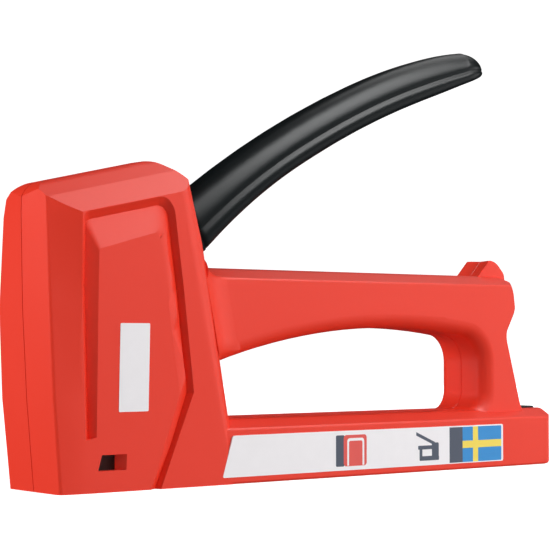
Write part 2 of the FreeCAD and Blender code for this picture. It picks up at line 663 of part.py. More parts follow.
def driver_blade():
    """Flat blade that drives the staple. It hangs on the hammer's lugs."""
    t = BLADE_THICK / 2
    blade = front_prism([(-BLADE_HALF, BLADE_TIP, 0), (BLADE_HALF, BLADE_TIP, 0),
                         (BLADE_HALF, HAMMER_SEAT - 3, 1.5),
                         (-BLADE_HALF, HAMMER_SEAT - 3, 1.5)], -t, t)
    return blade.cut(blade_lugs(0.05))


def power_spring():
    return coil(SPRING_R, SPRING_WIRE, CAP_LOW - HAMMER_SEAT, SPRING_TURNS,
                vec(SPRING_X, 0, HAMMER_SEAT), vec(0, 0, 1))


def spring_seat():
    """Upper seat of the power spring, a square plate with clipped corners."""
    half = 6.6
    clip = 2.2
    corners = [(a * (half - clip * (k == 0)), b * (half - clip * (k == 1))) for a, b, k in (
        (-1, -1, 0), (1, -1, 0), (1, -1, 1), (1, 1, 1), (1, 1, 0), (-1, 1, 0), (-1, 1, 1), (-1, -1, 1))]
    return plan_prism([(SPRING_X + x, y, 0) for x, y in corners], CAP_LOW, CAP_HIGH)


def bumper():
    """Rubber block that stops the hammer."""
    return block(1.8, 7.6, -6.8, 6.8, 40.0, HAMMER_LOW - 0.3)


def lever_spring():
    """Torsion spring on the pivot pin. One leg bears on the lever's arm side, the other on a rib."""
    wire = 0.6
    winding = coil(PIN_R + 0.4 + wire, wire, 4.4, 2.75, vec(PIVOT_X, -2.2, PIVOT_Z), vec(0, 1, 0))
    return winding


# ---- nose and magazine ---------------------------------------------------------------------------

def nose_guide():
    """Steel guide of the blade: a shaft round it, open to the rear at the foot where the staples come in."""
    front = -BLADE_THICK / 2 - SLIDE - 1.5
    rear = BLADE_THICK / 2 + SLIDE + SHEET
    body = plan_prism([(front, -CHANNEL_HALF, 1.0), (rear, -CHANNEL_HALF, 0), (rear, CHANNEL_HALF, 0),
                       (front, CHANNEL_HALF, 1.0)], CHANNEL_LOW - 0.2, 44.0)
    shaft = block(-BLADE_THICK / 2 - SLIDE, BLADE_THICK / 2 + SLIDE, -STAPLE_HALF - 0.15,
                  STAPLE_HALF + 0.15, -1, 60)
    mouth = block(-BLADE_THICK / 2 - SLIDE, 5, -CHANNEL_HALF + SHEET, CHANNEL_HALF - SHEET, -1, CHANNEL_TOP)
    entry = block(BLADE_THICK / 2 + SLIDE, 5, -CHANNEL_HALF - 1, CHANNEL_HALF + 1, -1, CHANNEL_TOP + 0.1)
    return body.cut(shaft).cut(mouth).cut(entry)


def magazine_channel():
    """Outer steel channel of the magazine, with flanges that hang on the housing's ribs."""
    start = BLADE_THICK / 2 + SLIDE
    half = CHANNEL_HALF
    corners = [(half, CHANNEL_LOW, 1.2), (half, CHANNEL_TOP - SHEET, 0),
               (FLANGE_HALF, CHANNEL_TOP - SHEET, 0),
               (FLANGE_HALF, CHANNEL_TOP, 0), (half - SHEET, CHANNEL_TOP, 0.9),
               (half - SHEET, CHANNEL_LOW + SHEET, 0)]
    outline = corners + [(-y, z, r) for y, z, r in reversed(corners)]
    body = front_prism(outline, start, CHANNEL_REAR)
    notch = block(start - 1, 34, -20, -half, CHANNEL_TOP - SHEET - 1, 20).fuse(
        block(start - 1, 34, half, 20, CHANNEL_TOP - SHEET - 1, 20))
    slots = [block(x, x + 14, -1.6, 1.6, 0, 2) for x in (70, 100, 130)]
    return body.cut(notch).cut(Part.makeCompound(slots))


def magazine_rail():
    """Inner rail that carries the staples and slides out to the rear."""
    low = CHANNEL_LOW + SHEET + SLIDE
    corners = [(RAIL_HALF, low, 0.9), (RAIL_HALF, RAIL_TOP, 0), (RAIL_HALF - 0.8, RAIL_TOP, 0),
               (RAIL_HALF - 0.8, low + 0.8, 0)]
    outline = corners + [(-y, z, r) for y, z, r in reversed(corners)]
    front = STRIP_FRONT + STAPLE_PITCH + 0.2
    body = front_prism(outline, front, END_FRONT + 6)
    end_tab = block(front, front + 0.8, -RAIL_HALF + 0.4, RAIL_HALF - 0.4, low + 0.4, RAIL_TOP - 0.6)
    eye = Part.makeCylinder(ROD_R, 6, vec(front - 1, 0, ROD_Z), vec(1, 0, 0))
    return body.fuse(end_tab).cut(eye).removeSplitter()


def staple(x):
    """One staple: crown across, two legs down, outside the rail."""
    top = CHANNEL_LOW + SHEET + 0.2 + STAPLE_LEG
    wire = STAPLE_WIRE
    outline = [(-STAPLE_HALF, top - STAPLE_LEG, 0), (-STAPLE_HALF, top, 0.6), (STAPLE_HALF, top, 0.6),
               (STAPLE_HALF, top - STAPLE_LEG, 0),
               (STAPLE_HALF - 0.6, top - STAPLE_LEG, 0), (STAPLE_HALF - 0.6, top - 0.6, 0),
               (-STAPLE_HALF + 0.6, top - 0.6, 0),
               (-STAPLE_HALF + 0.6, top - STAPLE_LEG, 0)]
    return front_prism(outline, x, x + wire)


def staple_strip():
    """Glued strip of staples, as one ribbed solid."""
    count = round(STRIP_LENGTH / STAPLE_PITCH)
    body = staple(STRIP_FRONT)
    strip = front_prism([(y, z, r) for y, z, r in [
        (-STAPLE_HALF + 0.06, 2.0, 0), (-STAPLE_HALF + 0.06, 9.74, 0.6), (STAPLE_HALF - 0.06, 9.74, 0.6),
        (STAPLE_HALF - 0.06, 2.0, 0),
        (STAPLE_HALF - 0.54, 2.0, 0), (STAPLE_HALF - 0.54, 9.26, 0), (-STAPLE_HALF + 0.54, 9.26, 0),
        (-STAPLE_HALF + 0.54, 2.0, 0)]],
        STRIP_FRONT, STRIP_FRONT + count * STAPLE_PITCH - 0.02)
    return fuse([body, strip])


def pusher():
    """Saddle that pushes the staples forward: it straddles the rail, with a tongue down to the spring."""
    x0 = STRIP_FRONT + round(STRIP_LENGTH / STAPLE_PITCH) * STAPLE_PITCH
    x1 = x0 + PUSHER_LENGTH
    outer_half = STAPLE_HALF
    inner_half = RAIL_HALF + SLIDE
    low = CHANNEL_LOW + SHEET + 0.4
    top = RAIL_TOP + 2.2
    outline = [(-outer_half, low, 0), (-outer_half, top, 0.8), (outer_half, top, 0.8),
               (outer_half, low, 0), (inner_half, low, 0),
               (inner_half, RAIL_TOP + SLIDE, 0), (-inner_half, RAIL_TOP + SLIDE, 0), (-inner_half, low, 0)]
    saddle = front_prism(outline, x0, x1)
    nose = saddle.makeChamfer(0.5,
                              [e for e in saddle.Edges if abs(e.CenterOfMass.x - x1) < 0.01 and e.CenterOfMass.z > top - 0.3])
    tongue_half = RAIL_HALF - 0.8 - SLIDE
    tongue = block(x0 + 5, x1 - 1, -tongue_half, tongue_half, ROD_Z - 2.6, RAIL_TOP + 1)
    hole = Part.makeCylinder(ROD_R + 0.1, 40, vec(x0 - 10, 0, ROD_Z), vec(1, 0, 0))
    return nose.fuse(tongue).removeSplitter().cut(hole)


def pusher_rod():
    front = STRIP_FRONT + STAPLE_PITCH + 0.2
    return Part.makeCylinder(ROD_R, END_FRONT - front, vec(front, 0, ROD_Z), vec(1, 0, 0))


def pusher_spring():
    """Long spring on the rod, between the pusher's tongue and the end piece."""
    start = STRIP_FRONT + round(STRIP_LENGTH / STAPLE_PITCH) * STAPLE_PITCH + PUSHER_LENGTH - 1
    return coil(PUSH_SPRING_R, PUSH_SPRING_WIRE, END_FRONT - start, 11, vec(start, 0, ROD_Z),
                vec(1, 0, 0), 6, 3)


def magazine_end():
    """Black end piece of the magazine, with finger grips on its rear face and a pocket for the latch."""
    body = side_prism([(END_FRONT, 0.9, 0.8), (END_FRONT, END_TOP, 1.0), (END_REAR - 0.9, END_TOP, 1.0),
                       (END_REAR, 2.0, 1.6),
                       (END_REAR - 1, 0.9, 0.8)], END_HALF)
    low = CHANNEL_LOW + SHEET + SLIDE
    inner = [(-RAIL_HALF, low, 0.9), (RAIL_HALF, low, 0.9), (RAIL_HALF, RAIL_TOP, 0),
             (-RAIL_HALF, RAIL_TOP, 0)]
    rail_slot = front_prism(inner, END_FRONT - 1, END_FRONT + 6)
    core = block(END_FRONT, END_FRONT + 6, -RAIL_HALF + 0.8, RAIL_HALF - 0.8, low + 1.2, RAIL_TOP)
    grips = [block(END_REAR - 1.4, END_REAR + 2, -8, 8, z, z + 1.0) for z in (4.0, 6.2, 8.4, 10.6)]
    well = block(LATCH_FRONT + 0.6 - FREE, LATCH_REAR - 2.6 + FREE, -5 - FREE, 5 + FREE, 8.0, 30)
    return body.cut(rail_slot).fuse(core).cut(Part.makeCompound(grips + [well])).removeSplitter()


def latch():
    """Press tab over the end piece, with a foot that stands on its spring."""
    tab = side_prism([(LATCH_FRONT, END_TOP + LATCH_PRESS + 0.3, 0), (LATCH_FRONT, LATCH_TOP, 0.4),
                      (LATCH_REAR, LATCH_TOP, 0.8),
                      (LATCH_REAR, END_TOP + LATCH_PRESS + 0.3, 0)], LATCH_HALF)
    foot = block(LATCH_FRONT + 0.6, LATCH_REAR - 2.6, -5, 5, 11.6, END_TOP + LATCH_PRESS + 1)
    grooves = [block(x, x + 0.6, -LATCH_HALF + 1.5, LATCH_HALF - 1.5, LATCH_TOP - 0.35,
                     LATCH_TOP + 1) for x in (174.6, 176.6, 178.6, 180.6)]
    return tab.fuse(foot).cut(Part.makeCompound(grooves)).removeSplitter()


def latch_spring():
    x = (LATCH_FRONT + 0.6 + LATCH_REAR - 2.6) / 2
    return coil(2.2, 0.3, 3.6, 3.5, vec(x, 0, 8.0), vec(0, 0, 1), 6, 3)


PIECES = {
    "housing_screws": housing_screws,
    "pivot_pin": pivot_pin,
    "spring_seat": spring_seat,
    "bumper": bumper,
    "nose_guide": nose_guide,
    "magazine_channel": magazine_channel,
    "lever": lever,
    "lift_arm": lift_arm,
    "lifting_pin": lifting_pin,
    "arm_rivet": arm_rivet,
    "lever_spring": lever_spring,
    "hammer": hammer,
    "driver_blade": driver_blade,
    "power_spring": power_spring,
    "magazine_rail": magazine_rail,
    "staple_strip": staple_strip,
    "pusher": pusher,
    "pusher_rod": pusher_rod,
    "pusher_spring": pusher_spring,
    "magazine_end": magazine_end,
    "magazine_latch": latch,
    "latch_spring": latch_spring,
}


if __name__ == "__main__":
    os.makedirs("parts", exist_ok=True)
    outer, inside = outer_form(), hollow()
    shapes = {"left_housing": housing(-1, outer, inside), "right_housing": housing(1, outer, inside)}
    shapes.update({name: make() for name, make in PIECES.items()})
    for name, shape in shapes.items():
        box = shape.optimalBoundingBox()
        print(f"{name:18s} valid {shape.isValid()} solids {len(shape.Solids)} volume {shape.Volume:9.1f}  "
              f"X {box.XMin:.1f} {box.XMax:.1f}  Y {box.YMin:.1f} {box.YMax:.1f}  Z {box.ZMin:.1f} {box.ZMax:.1f}")
        shape.exportStep(f"parts/{name}.step")
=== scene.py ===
"""Looks of a hand staple gun: moulded red housing, black lever, printed label, springs and steel works."""

import logging
import math
from dataclasses import dataclass
from enum import Enum
from functools import reduce
from typing import Callable, Iterable, Optional, Union

import bpy
from mathutils import Euler, Matrix, Vector


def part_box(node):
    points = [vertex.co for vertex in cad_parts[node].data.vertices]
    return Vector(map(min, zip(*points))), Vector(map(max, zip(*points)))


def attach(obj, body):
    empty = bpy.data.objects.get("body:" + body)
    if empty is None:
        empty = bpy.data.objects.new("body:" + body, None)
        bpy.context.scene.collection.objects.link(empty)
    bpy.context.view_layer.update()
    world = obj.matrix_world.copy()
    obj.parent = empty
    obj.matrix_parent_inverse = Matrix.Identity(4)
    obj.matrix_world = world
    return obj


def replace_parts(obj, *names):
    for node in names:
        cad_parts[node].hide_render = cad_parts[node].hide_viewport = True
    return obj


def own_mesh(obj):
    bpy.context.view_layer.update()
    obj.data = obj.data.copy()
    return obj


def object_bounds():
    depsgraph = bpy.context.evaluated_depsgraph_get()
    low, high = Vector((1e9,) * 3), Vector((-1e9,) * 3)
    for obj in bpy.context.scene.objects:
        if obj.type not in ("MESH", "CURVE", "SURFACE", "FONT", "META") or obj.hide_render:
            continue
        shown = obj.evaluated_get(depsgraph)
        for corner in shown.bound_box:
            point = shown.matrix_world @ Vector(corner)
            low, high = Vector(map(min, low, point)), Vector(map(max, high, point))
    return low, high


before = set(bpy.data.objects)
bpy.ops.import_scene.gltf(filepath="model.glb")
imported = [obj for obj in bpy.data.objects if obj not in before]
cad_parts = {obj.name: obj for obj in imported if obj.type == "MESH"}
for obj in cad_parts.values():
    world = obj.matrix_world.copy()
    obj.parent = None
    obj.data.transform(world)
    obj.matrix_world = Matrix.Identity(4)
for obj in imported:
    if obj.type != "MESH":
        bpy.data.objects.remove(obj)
CAD_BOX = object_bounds()

Colour = tuple[float, float, float]
Point = tuple[float, float, float]
Point2 = tuple[float, float]
Number = Union["Wire", float]
Test = Callable[[Vector], bool]
Material = bpy.types.Material
Piece = bpy.types.Object
MM = 0.001
SAME_SPOT = 1e-6
ARC_STEP = math.radians(2.0)
log = logging.getLogger("staple_gun")


class Body(Enum):
    """Bodies of the part that new pieces ride on."""

    HOUSING = "housing"
    LEVER = "lever"
    MAGAZINE = "magazine"
    PUSHER = "pusher"
    LATCH = "latch"


class Element(Enum):
    """What a selection on the bench is made of."""

    VERTEX = "VERT"
    EDGE = "EDGE"
    FACE = "FACE"


# ---- shader graphs ----


class Wire:
    """An output socket in expressions. Arithmetic on it adds Math nodes to its graph."""

    def __init__(self, graph: "Graph", socket: bpy.types.NodeSocket) -> None:
        """Wrap a socket of a graph."""
        self.graph = graph
        self.socket = socket

    def _math(self, operation: str, *values: Number) -> "Wire":
        """Add a Math node of that operation with its operands in order."""
        return self.graph.node("ShaderNodeMath", {"operation": operation}, dict(enumerate(values)))

    def __add__(self, other: Number) -> "Wire":
        """Sum."""
        return self._math("ADD", self, other)

    __radd__ = __add__

    def __sub__(self, other: Number) -> "Wire":
        """Difference."""
        return self._math("SUBTRACT", self, other)

    def __rsub__(self, other: float) -> "Wire":
        """Difference from a number."""
        return self._math("SUBTRACT", other, self)

    def __mul__(self, other: Number) -> "Wire":
        """Product."""
        return self._math("MULTIPLY", self, other)

    __rmul__ = __mul__

    def __lt__(self, other: Number) -> "Wire":
        """1 where this is smaller."""
        return self._math("LESS_THAN", self, other)

    def __gt__(self, other: Number) -> "Wire":
        """1 where this is larger."""
        return self._math("GREATER_THAN", self, other)

    def __abs__(self) -> "Wire":
        """Size without sign."""
        return self._math("ABSOLUTE", self)

    def at_least(self, other: Number) -> "Wire":
        """The larger of two."""
        return self._math("MAXIMUM", self, other)

    def root(self) -> "Wire":
        """Square root."""
        return self._math("SQRT", self)


class Graph:
    """Node graph of one material."""

    def __init__(self, name: str) -> None:
        """Start an empty material.

        Args:
            name: The material's name.
        """
        self.material = bpy.data.materials.new(name)
        self.material.use_nodes = True
        self.tree = self.material.node_tree
        self.tree.nodes.clear()

    def node(
        self, kind: str, settings: Optional[dict] = None, inputs: Optional[dict] = None,
        output: Union[str, int] = 0,
    ) -> Wire:
        """Add a node.

        Args:
            kind: The node's type.
            settings: Its properties, set before its inputs.
            inputs: Values or wires by socket name or number.
            output: Which output to return.

        Returns:
            A wire from that output.
        """
        made = self.tree.nodes.new(kind)
        for name, value in (settings or {}).items():
            setattr(made, name, value)
        for key, value in (inputs or {}).items():
            if isinstance(value, Wire):
                self.tree.links.new(value.socket, made.inputs[key])
            else:
                made.inputs[key].default_value = value
        return Wire(self, made.outputs[output])

    def place(self) -> Wire:
        """Object coordinates."""
        return self.node("ShaderNodeTexCoord", output="Object")

    def axes(self) -> tuple[Wire, Wire, Wire]:
        """X, Y and Z of the object coordinates."""
        split = self.node("ShaderNodeSeparateXYZ", inputs={0: self.place()})
        return tuple(Wire(self, output) for output in split.socket.node.outputs)

    def stretched(self, along: Point) -> Wire:
        """Object coordinates, each axis multiplied by a number."""
        return self.node("ShaderNodeMapping", inputs={"Vector": self.place(), "Scale": along})

    def noise(self, grain: float, detail: float = 2.0, vector: Optional[Wire] = None) -> Wire:
        """Noise between 0 and 1.

        Args:
            grain: Size of its grains in metres.
            detail: Octaves.
            vector: Coordinates, or None for the object's own.

        Returns:
            The noise's wire.
        """
        inputs = {"Vector": vector or self.place(), "Scale": 1.0 / grain, "Detail": detail}
        return self.node("ShaderNodeTexNoise", inputs=inputs)

    def mix(self, mask: Wire, low: Union[Wire, Colour], high: Union[Wire, Colour]) -> Wire:
        """Colour between two, by a mask.

        Args:
            mask: 0 for the low one, 1 for the high one.
            low: A colour or a wire of one.
            high: A colour or a wire of one.

        Returns:
            The mixed colour's wire.
        """
        ends = {key: end if isinstance(end, Wire) else (*end, 1.0) for key, end in ((6, low), (7, high))}
        return self.node("ShaderNodeMix", {"data_type": "RGBA"}, {0: mask, **ends}, 2)

    def bump(self, height: Wire, depth: float) -> Wire:
        """Normal from a height between 0 and 1, whose full depth is in metres."""
        return self.node("ShaderNodeBump", inputs={"Height": height, "Distance": depth}, output="Normal")

    def surface(self, inputs: dict) -> Material:
        """Close the graph with a Principled BSDF.

        Args:
            inputs: Its sockets' values or wires.

        Returns:
            The material.
        """
        shader = self.node("ShaderNodeBsdfPrincipled", inputs=inputs)
        out = self.tree.nodes.new("ShaderNodeOutputMaterial")
        self.tree.links.new(shader.socket, out.inputs["Surface"])
        return self.material


def darker(colour: Colour, share: float) -> Colour:
    """A colour multiplied by a share."""
    return tuple(part * share for part in colour)


# ---- finishes ----


@dataclass(frozen=True)
class MouldedPlastic:
    """Injection-moulded plastic with a fine spark-eroded grain."""

    name: str
    colour: Colour
    shade: Colour
    roughness: float
    grain: float = 0.00042
    depth: float = 0.00002
    specular: float = 0.5
    cloud: float = 0.03
    grain_tone: float = 0.4
    grain_dull: float = 0.12
    cloud_dull: float = 0.05

    def material(self) -> Material:
        """Make the finish.

        Returns:
            Its material.
        """
        graph = Graph(self.name)
        fine = graph.noise(self.grain, 3.0)
        broad = graph.noise(self.cloud)
        tone = graph.mix(broad * (1 - self.grain_tone) + fine * self.grain_tone, self.shade, self.colour)
        least = self.roughness - (self.grain_dull + self.cloud_dull) / 2
        return graph.surface({
            "Base Color": tone, "Roughness": fine * self.grain_dull + broad * self.cloud_dull + least,
            "Normal": graph.bump(fine, self.depth), "Specular IOR Level": self.specular,
        })


@dataclass(frozen=True)
class DrawnSteel:
    """Satin steel with fine lines from drawing, grinding or plating, under a thin dull film."""

    name: str
    colour: Colour
    roughness: float
    lines: Point = (1.0, 14.0, 14.0)
    line: float = 0.0012
    cloud: float = 0.008
    shade: float = 0.78
    line_dull: float = 0.16
    cloud_dull: float = 0.1
    depth: float = 0.000008
    metal: float = 0.5
    line_metal: float = 0.2

    def material(self) -> Material:
        """Make the finish.

        Returns:
            Its material.
        """
        graph = Graph(self.name)
        streaks = graph.noise(self.line, 4.0, graph.stretched(self.lines))
        broad = graph.noise(self.cloud)
        tone = graph.mix(streaks * 0.5 + broad * 0.5, darker(self.colour, self.shade), self.colour)
        least = self.roughness - (self.line_dull + self.cloud_dull) / 2
        return graph.surface({
            "Base Color": tone, "Metallic": streaks * self.line_metal + self.metal,
            "Roughness": streaks * self.line_dull + broad * self.cloud_dull + least,
            "Normal": graph.bump(streaks, self.depth),
        })


@dataclass(frozen=True)
class SoftRubber:
    """Dull black rubber."""

    name: str
    colour: Colour = (0.03, 0.03, 0.032)
    shade: Colour = (0.012, 0.012, 0.013)
    roughness: float = 0.75
    grain: float = 0.0006
    grain_dull: float = 0.1
    depth: float = 0.00003

    def material(self) -> Material:
        """Make the finish.

        Returns:
            Its material.
        """
        graph = Graph(self.name)
        fine = graph.noise(self.grain, 3.0)
        return graph.surface({
            "Base Color": graph.mix(fine, self.shade, self.colour),
            "Roughness": fine * self.grain_dull + self.roughness, "Normal": graph.bump(fine, self.depth),
        })


@dataclass(frozen=True)
class Film:
    """Printed film: its paper and the surface over the print."""

    colour: Colour = (0.93, 0.90, 0.92)
    shade: float = 0.96
    cloud: float = 0.004
    roughness: float = 0.34
    grain: float = 0.0008
    grain_dull: float = 0.08
    depth: float = 0.000006

    def paper(self, graph: Graph) -> Wire:
        """The bare paper's tone."""
        return graph.mix(graph.noise(self.cloud), darker(self.colour, self.shade), self.colour)

    def printed(self, graph: Graph, tone: Wire) -> Material:
        """The film's material.

        Args:
            graph: The material's graph.
            tone: What is printed.

        Returns:
            The material.
        """
        fine = graph.noise(self.grain)
        return graph.surface({
            "Base Color": tone, "Roughness": fine * self.grain_dull + self.roughness,
            "Normal": graph.bump(fine, self.depth),
        })


@dataclass(frozen=True)
class PlainPrint:
    """Printed film with nothing on it."""

    name: str
    film: Film = Film()

    def material(self) -> Material:
        """The finish as a material."""
        graph = Graph(self.name)
        return self.film.printed(graph, self.film.paper(graph))


@dataclass(frozen=True)
class Tile:
    """A printed rectangle in the XZ plane, in millimetres: middle, half sizes and corner radius."""

    at: Point2
    half: Point2
    corner: float = 0.0

    def inside(self, x: Wire, z: Wire) -> Wire:
        """Where the rectangle is.

        Args:
            x: Place along the part, in millimetres.
            z: Height, in millimetres.

        Returns:
            1 inside it and 0 outside.
        """
        off_x, off_z = abs(x - self.at[0]), abs(z - self.at[1])
        if self.corner <= 0:
            return (off_x < self.half[0]) * (off_z < self.half[1])
        past_x = (off_x - (self.half[0] - self.corner)).at_least(0.0)
        past_z = (off_z - (self.half[1] - self.corner)).at_least(0.0)
        return (past_x * past_x + past_z * past_z).root() < self.corner


@dataclass(frozen=True)
class LabelPrint:
    """The base label's print: a staple sign, a small picture of the tool and a blue field with yellow bars."""

    name: str
    film: Film = Film()
    ink: Colour = (0.09, 0.105, 0.145)
    red: Colour = (0.80, 0.10, 0.085)
    blue: Colour = (0.035, 0.28, 0.66)
    yellow: Colour = (0.93, 0.72, 0.10)
    sign_band: Tile = Tile((92.4, 7.9), (1.7, 4.7), 0.5)
    sign: Tile = Tile((98.4, 7.9), (4.6, 4.7), 1.0)
    staple: Tile = Tile((98.6, 6.6), (3.4, 5.0), 1.0)
    staple_gap: Tile = Tile((98.6, 6.2), (2.7, 4.6), 0.6)
    staple_foot: float = 3.4
    tool: tuple[Tile, ...] = (
        Tile((129.2, 4.2), (4.2, 0.7), 0.3), Tile((131.8, 6.4), (1.5, 2.6), 0.5),
        Tile((127.6, 7.6), (3.2, 0.6), 0.3), Tile((125.6, 5.9), (0.6, 2.0), 0.3),
    )
    tool_lever: Tile = Tile((127.6, 63.9), (4.0, 0.55))
    tool_lever_slope: float = 0.42
    band: Tile = Tile((141.0, 7.9), (3.0, 5.6))
    field: Tile = Tile((152.6, 7.9), (8.8, 5.6), 0.3)
    bars_at: Point2 = (149.6, 7.9)
    bars_half: float = 1.15

    def material(self) -> Material:
        """Make the finish.

        Returns:
            Its material.
        """
        graph = Graph(self.name)
        x, _, z = graph.axes()
        x, z = x * (1 / MM), z * (1 / MM)
        staple = self.staple.inside(x, z) * (1.0 - self.staple_gap.inside(x, z)) * (z > self.staple_foot)
        tone = self.film.paper(graph)
        for mask, colour in (
            (self.sign_band.inside(x, z), self.ink), (self.sign.inside(x, z), self.red),
            (staple, self.film.colour), (self._picture(x, z), self.ink), (self.band.inside(x, z), self.ink),
            (self.field.inside(x, z), self.blue), (self._bars(x, z), self.yellow),
        ):
            tone = graph.mix(mask, tone, colour)
        return self.film.printed(graph, tone)

    def _picture(self, x: Wire, z: Wire) -> Wire:
        """1 inside the small picture of the tool: base, head, handle, leg, and a slanted lever."""
        lever = self.tool_lever.inside(x, z + x * self.tool_lever_slope)
        return reduce(Wire.at_least, (tile.inside(x, z) for tile in self.tool), lever)

    def _bars(self, x: Wire, z: Wire) -> Wire:
        """1 inside the crossed bars of the blue field."""
        bars = (abs(x - self.bars_at[0]) < self.bars_half).at_least(abs(z - self.bars_at[1]) < self.bars_half)
        return bars * Tile(self.field.at, self.field.half).inside(x, z)


@dataclass(frozen=True)
class PaleFloor:
    """Plain pale studio floor with a glow of its own."""

    name: str
    glow: float = 0.8
    colour: Colour = (0.80, 0.80, 0.80)
    shade: Colour = (0.78, 0.78, 0.78)
    cloud: float = 0.05
    roughness: float = 0.9
    cloud_dull: float = 0.05

    def material(self) -> Material:
        """Make the finish.

        Returns:
            Its material.
        """
        graph = Graph(self.name)
        broad = graph.noise(self.cloud, 3.0)
        return graph.surface({
            "Base Color": graph.mix(broad, self.shade, self.colour),
            "Roughness": broad * self.cloud_dull + self.roughness, "Specular IOR Level": 0.0,
            "Emission Color": (1.0, 1.0, 1.0, 1.0), "Emission Strength": self.glow,
        })


class Finish(Enum):
    """Finishes of the tool, by place."""

    RED = MouldedPlastic("red_housing_plastic", (0.89, 0.038, 0.013), (0.86, 0.034, 0.011), 0.44)
    BLACK = MouldedPlastic(
        "black_lever_plastic", (0.007, 0.010, 0.011), (0.004, 0.006, 0.007), 0.36,
        grain=0.00035, depth=0.00003, specular=0.26,
    )
    DARK = MouldedPlastic(
        "dark_end_plastic", (0.010, 0.010, 0.011), (0.006, 0.006, 0.007), 0.5, grain=0.0005, depth=0.00003,
    )
    GROUND = DrawnSteel("ground_steel", (0.62, 0.61, 0.59), 0.26)
    PLATED = DrawnSteel("plated_sheet_steel", (0.56, 0.56, 0.55), 0.34, (1.0, 6.0, 6.0))
    WIRE = DrawnSteel("spring_wire", (0.34, 0.33, 0.32), 0.30)
    STAPLE = DrawnSteel("staple_wire", (0.60, 0.60, 0.59), 0.30, (16.0, 1.0, 1.0))
    RUBBER = SoftRubber("bumper_rubber")
    PRINT = LabelPrint("label_print")
    BLANK = PlainPrint("blank_plate_print")
    FLOOR = PaleFloor("pale_floor")

    def material(self) -> Material:
        """The finish's material, made once."""
        made = bpy.data.materials.get(self.value.name)
        return made or self.value.material()


# ---- modelling bench ----


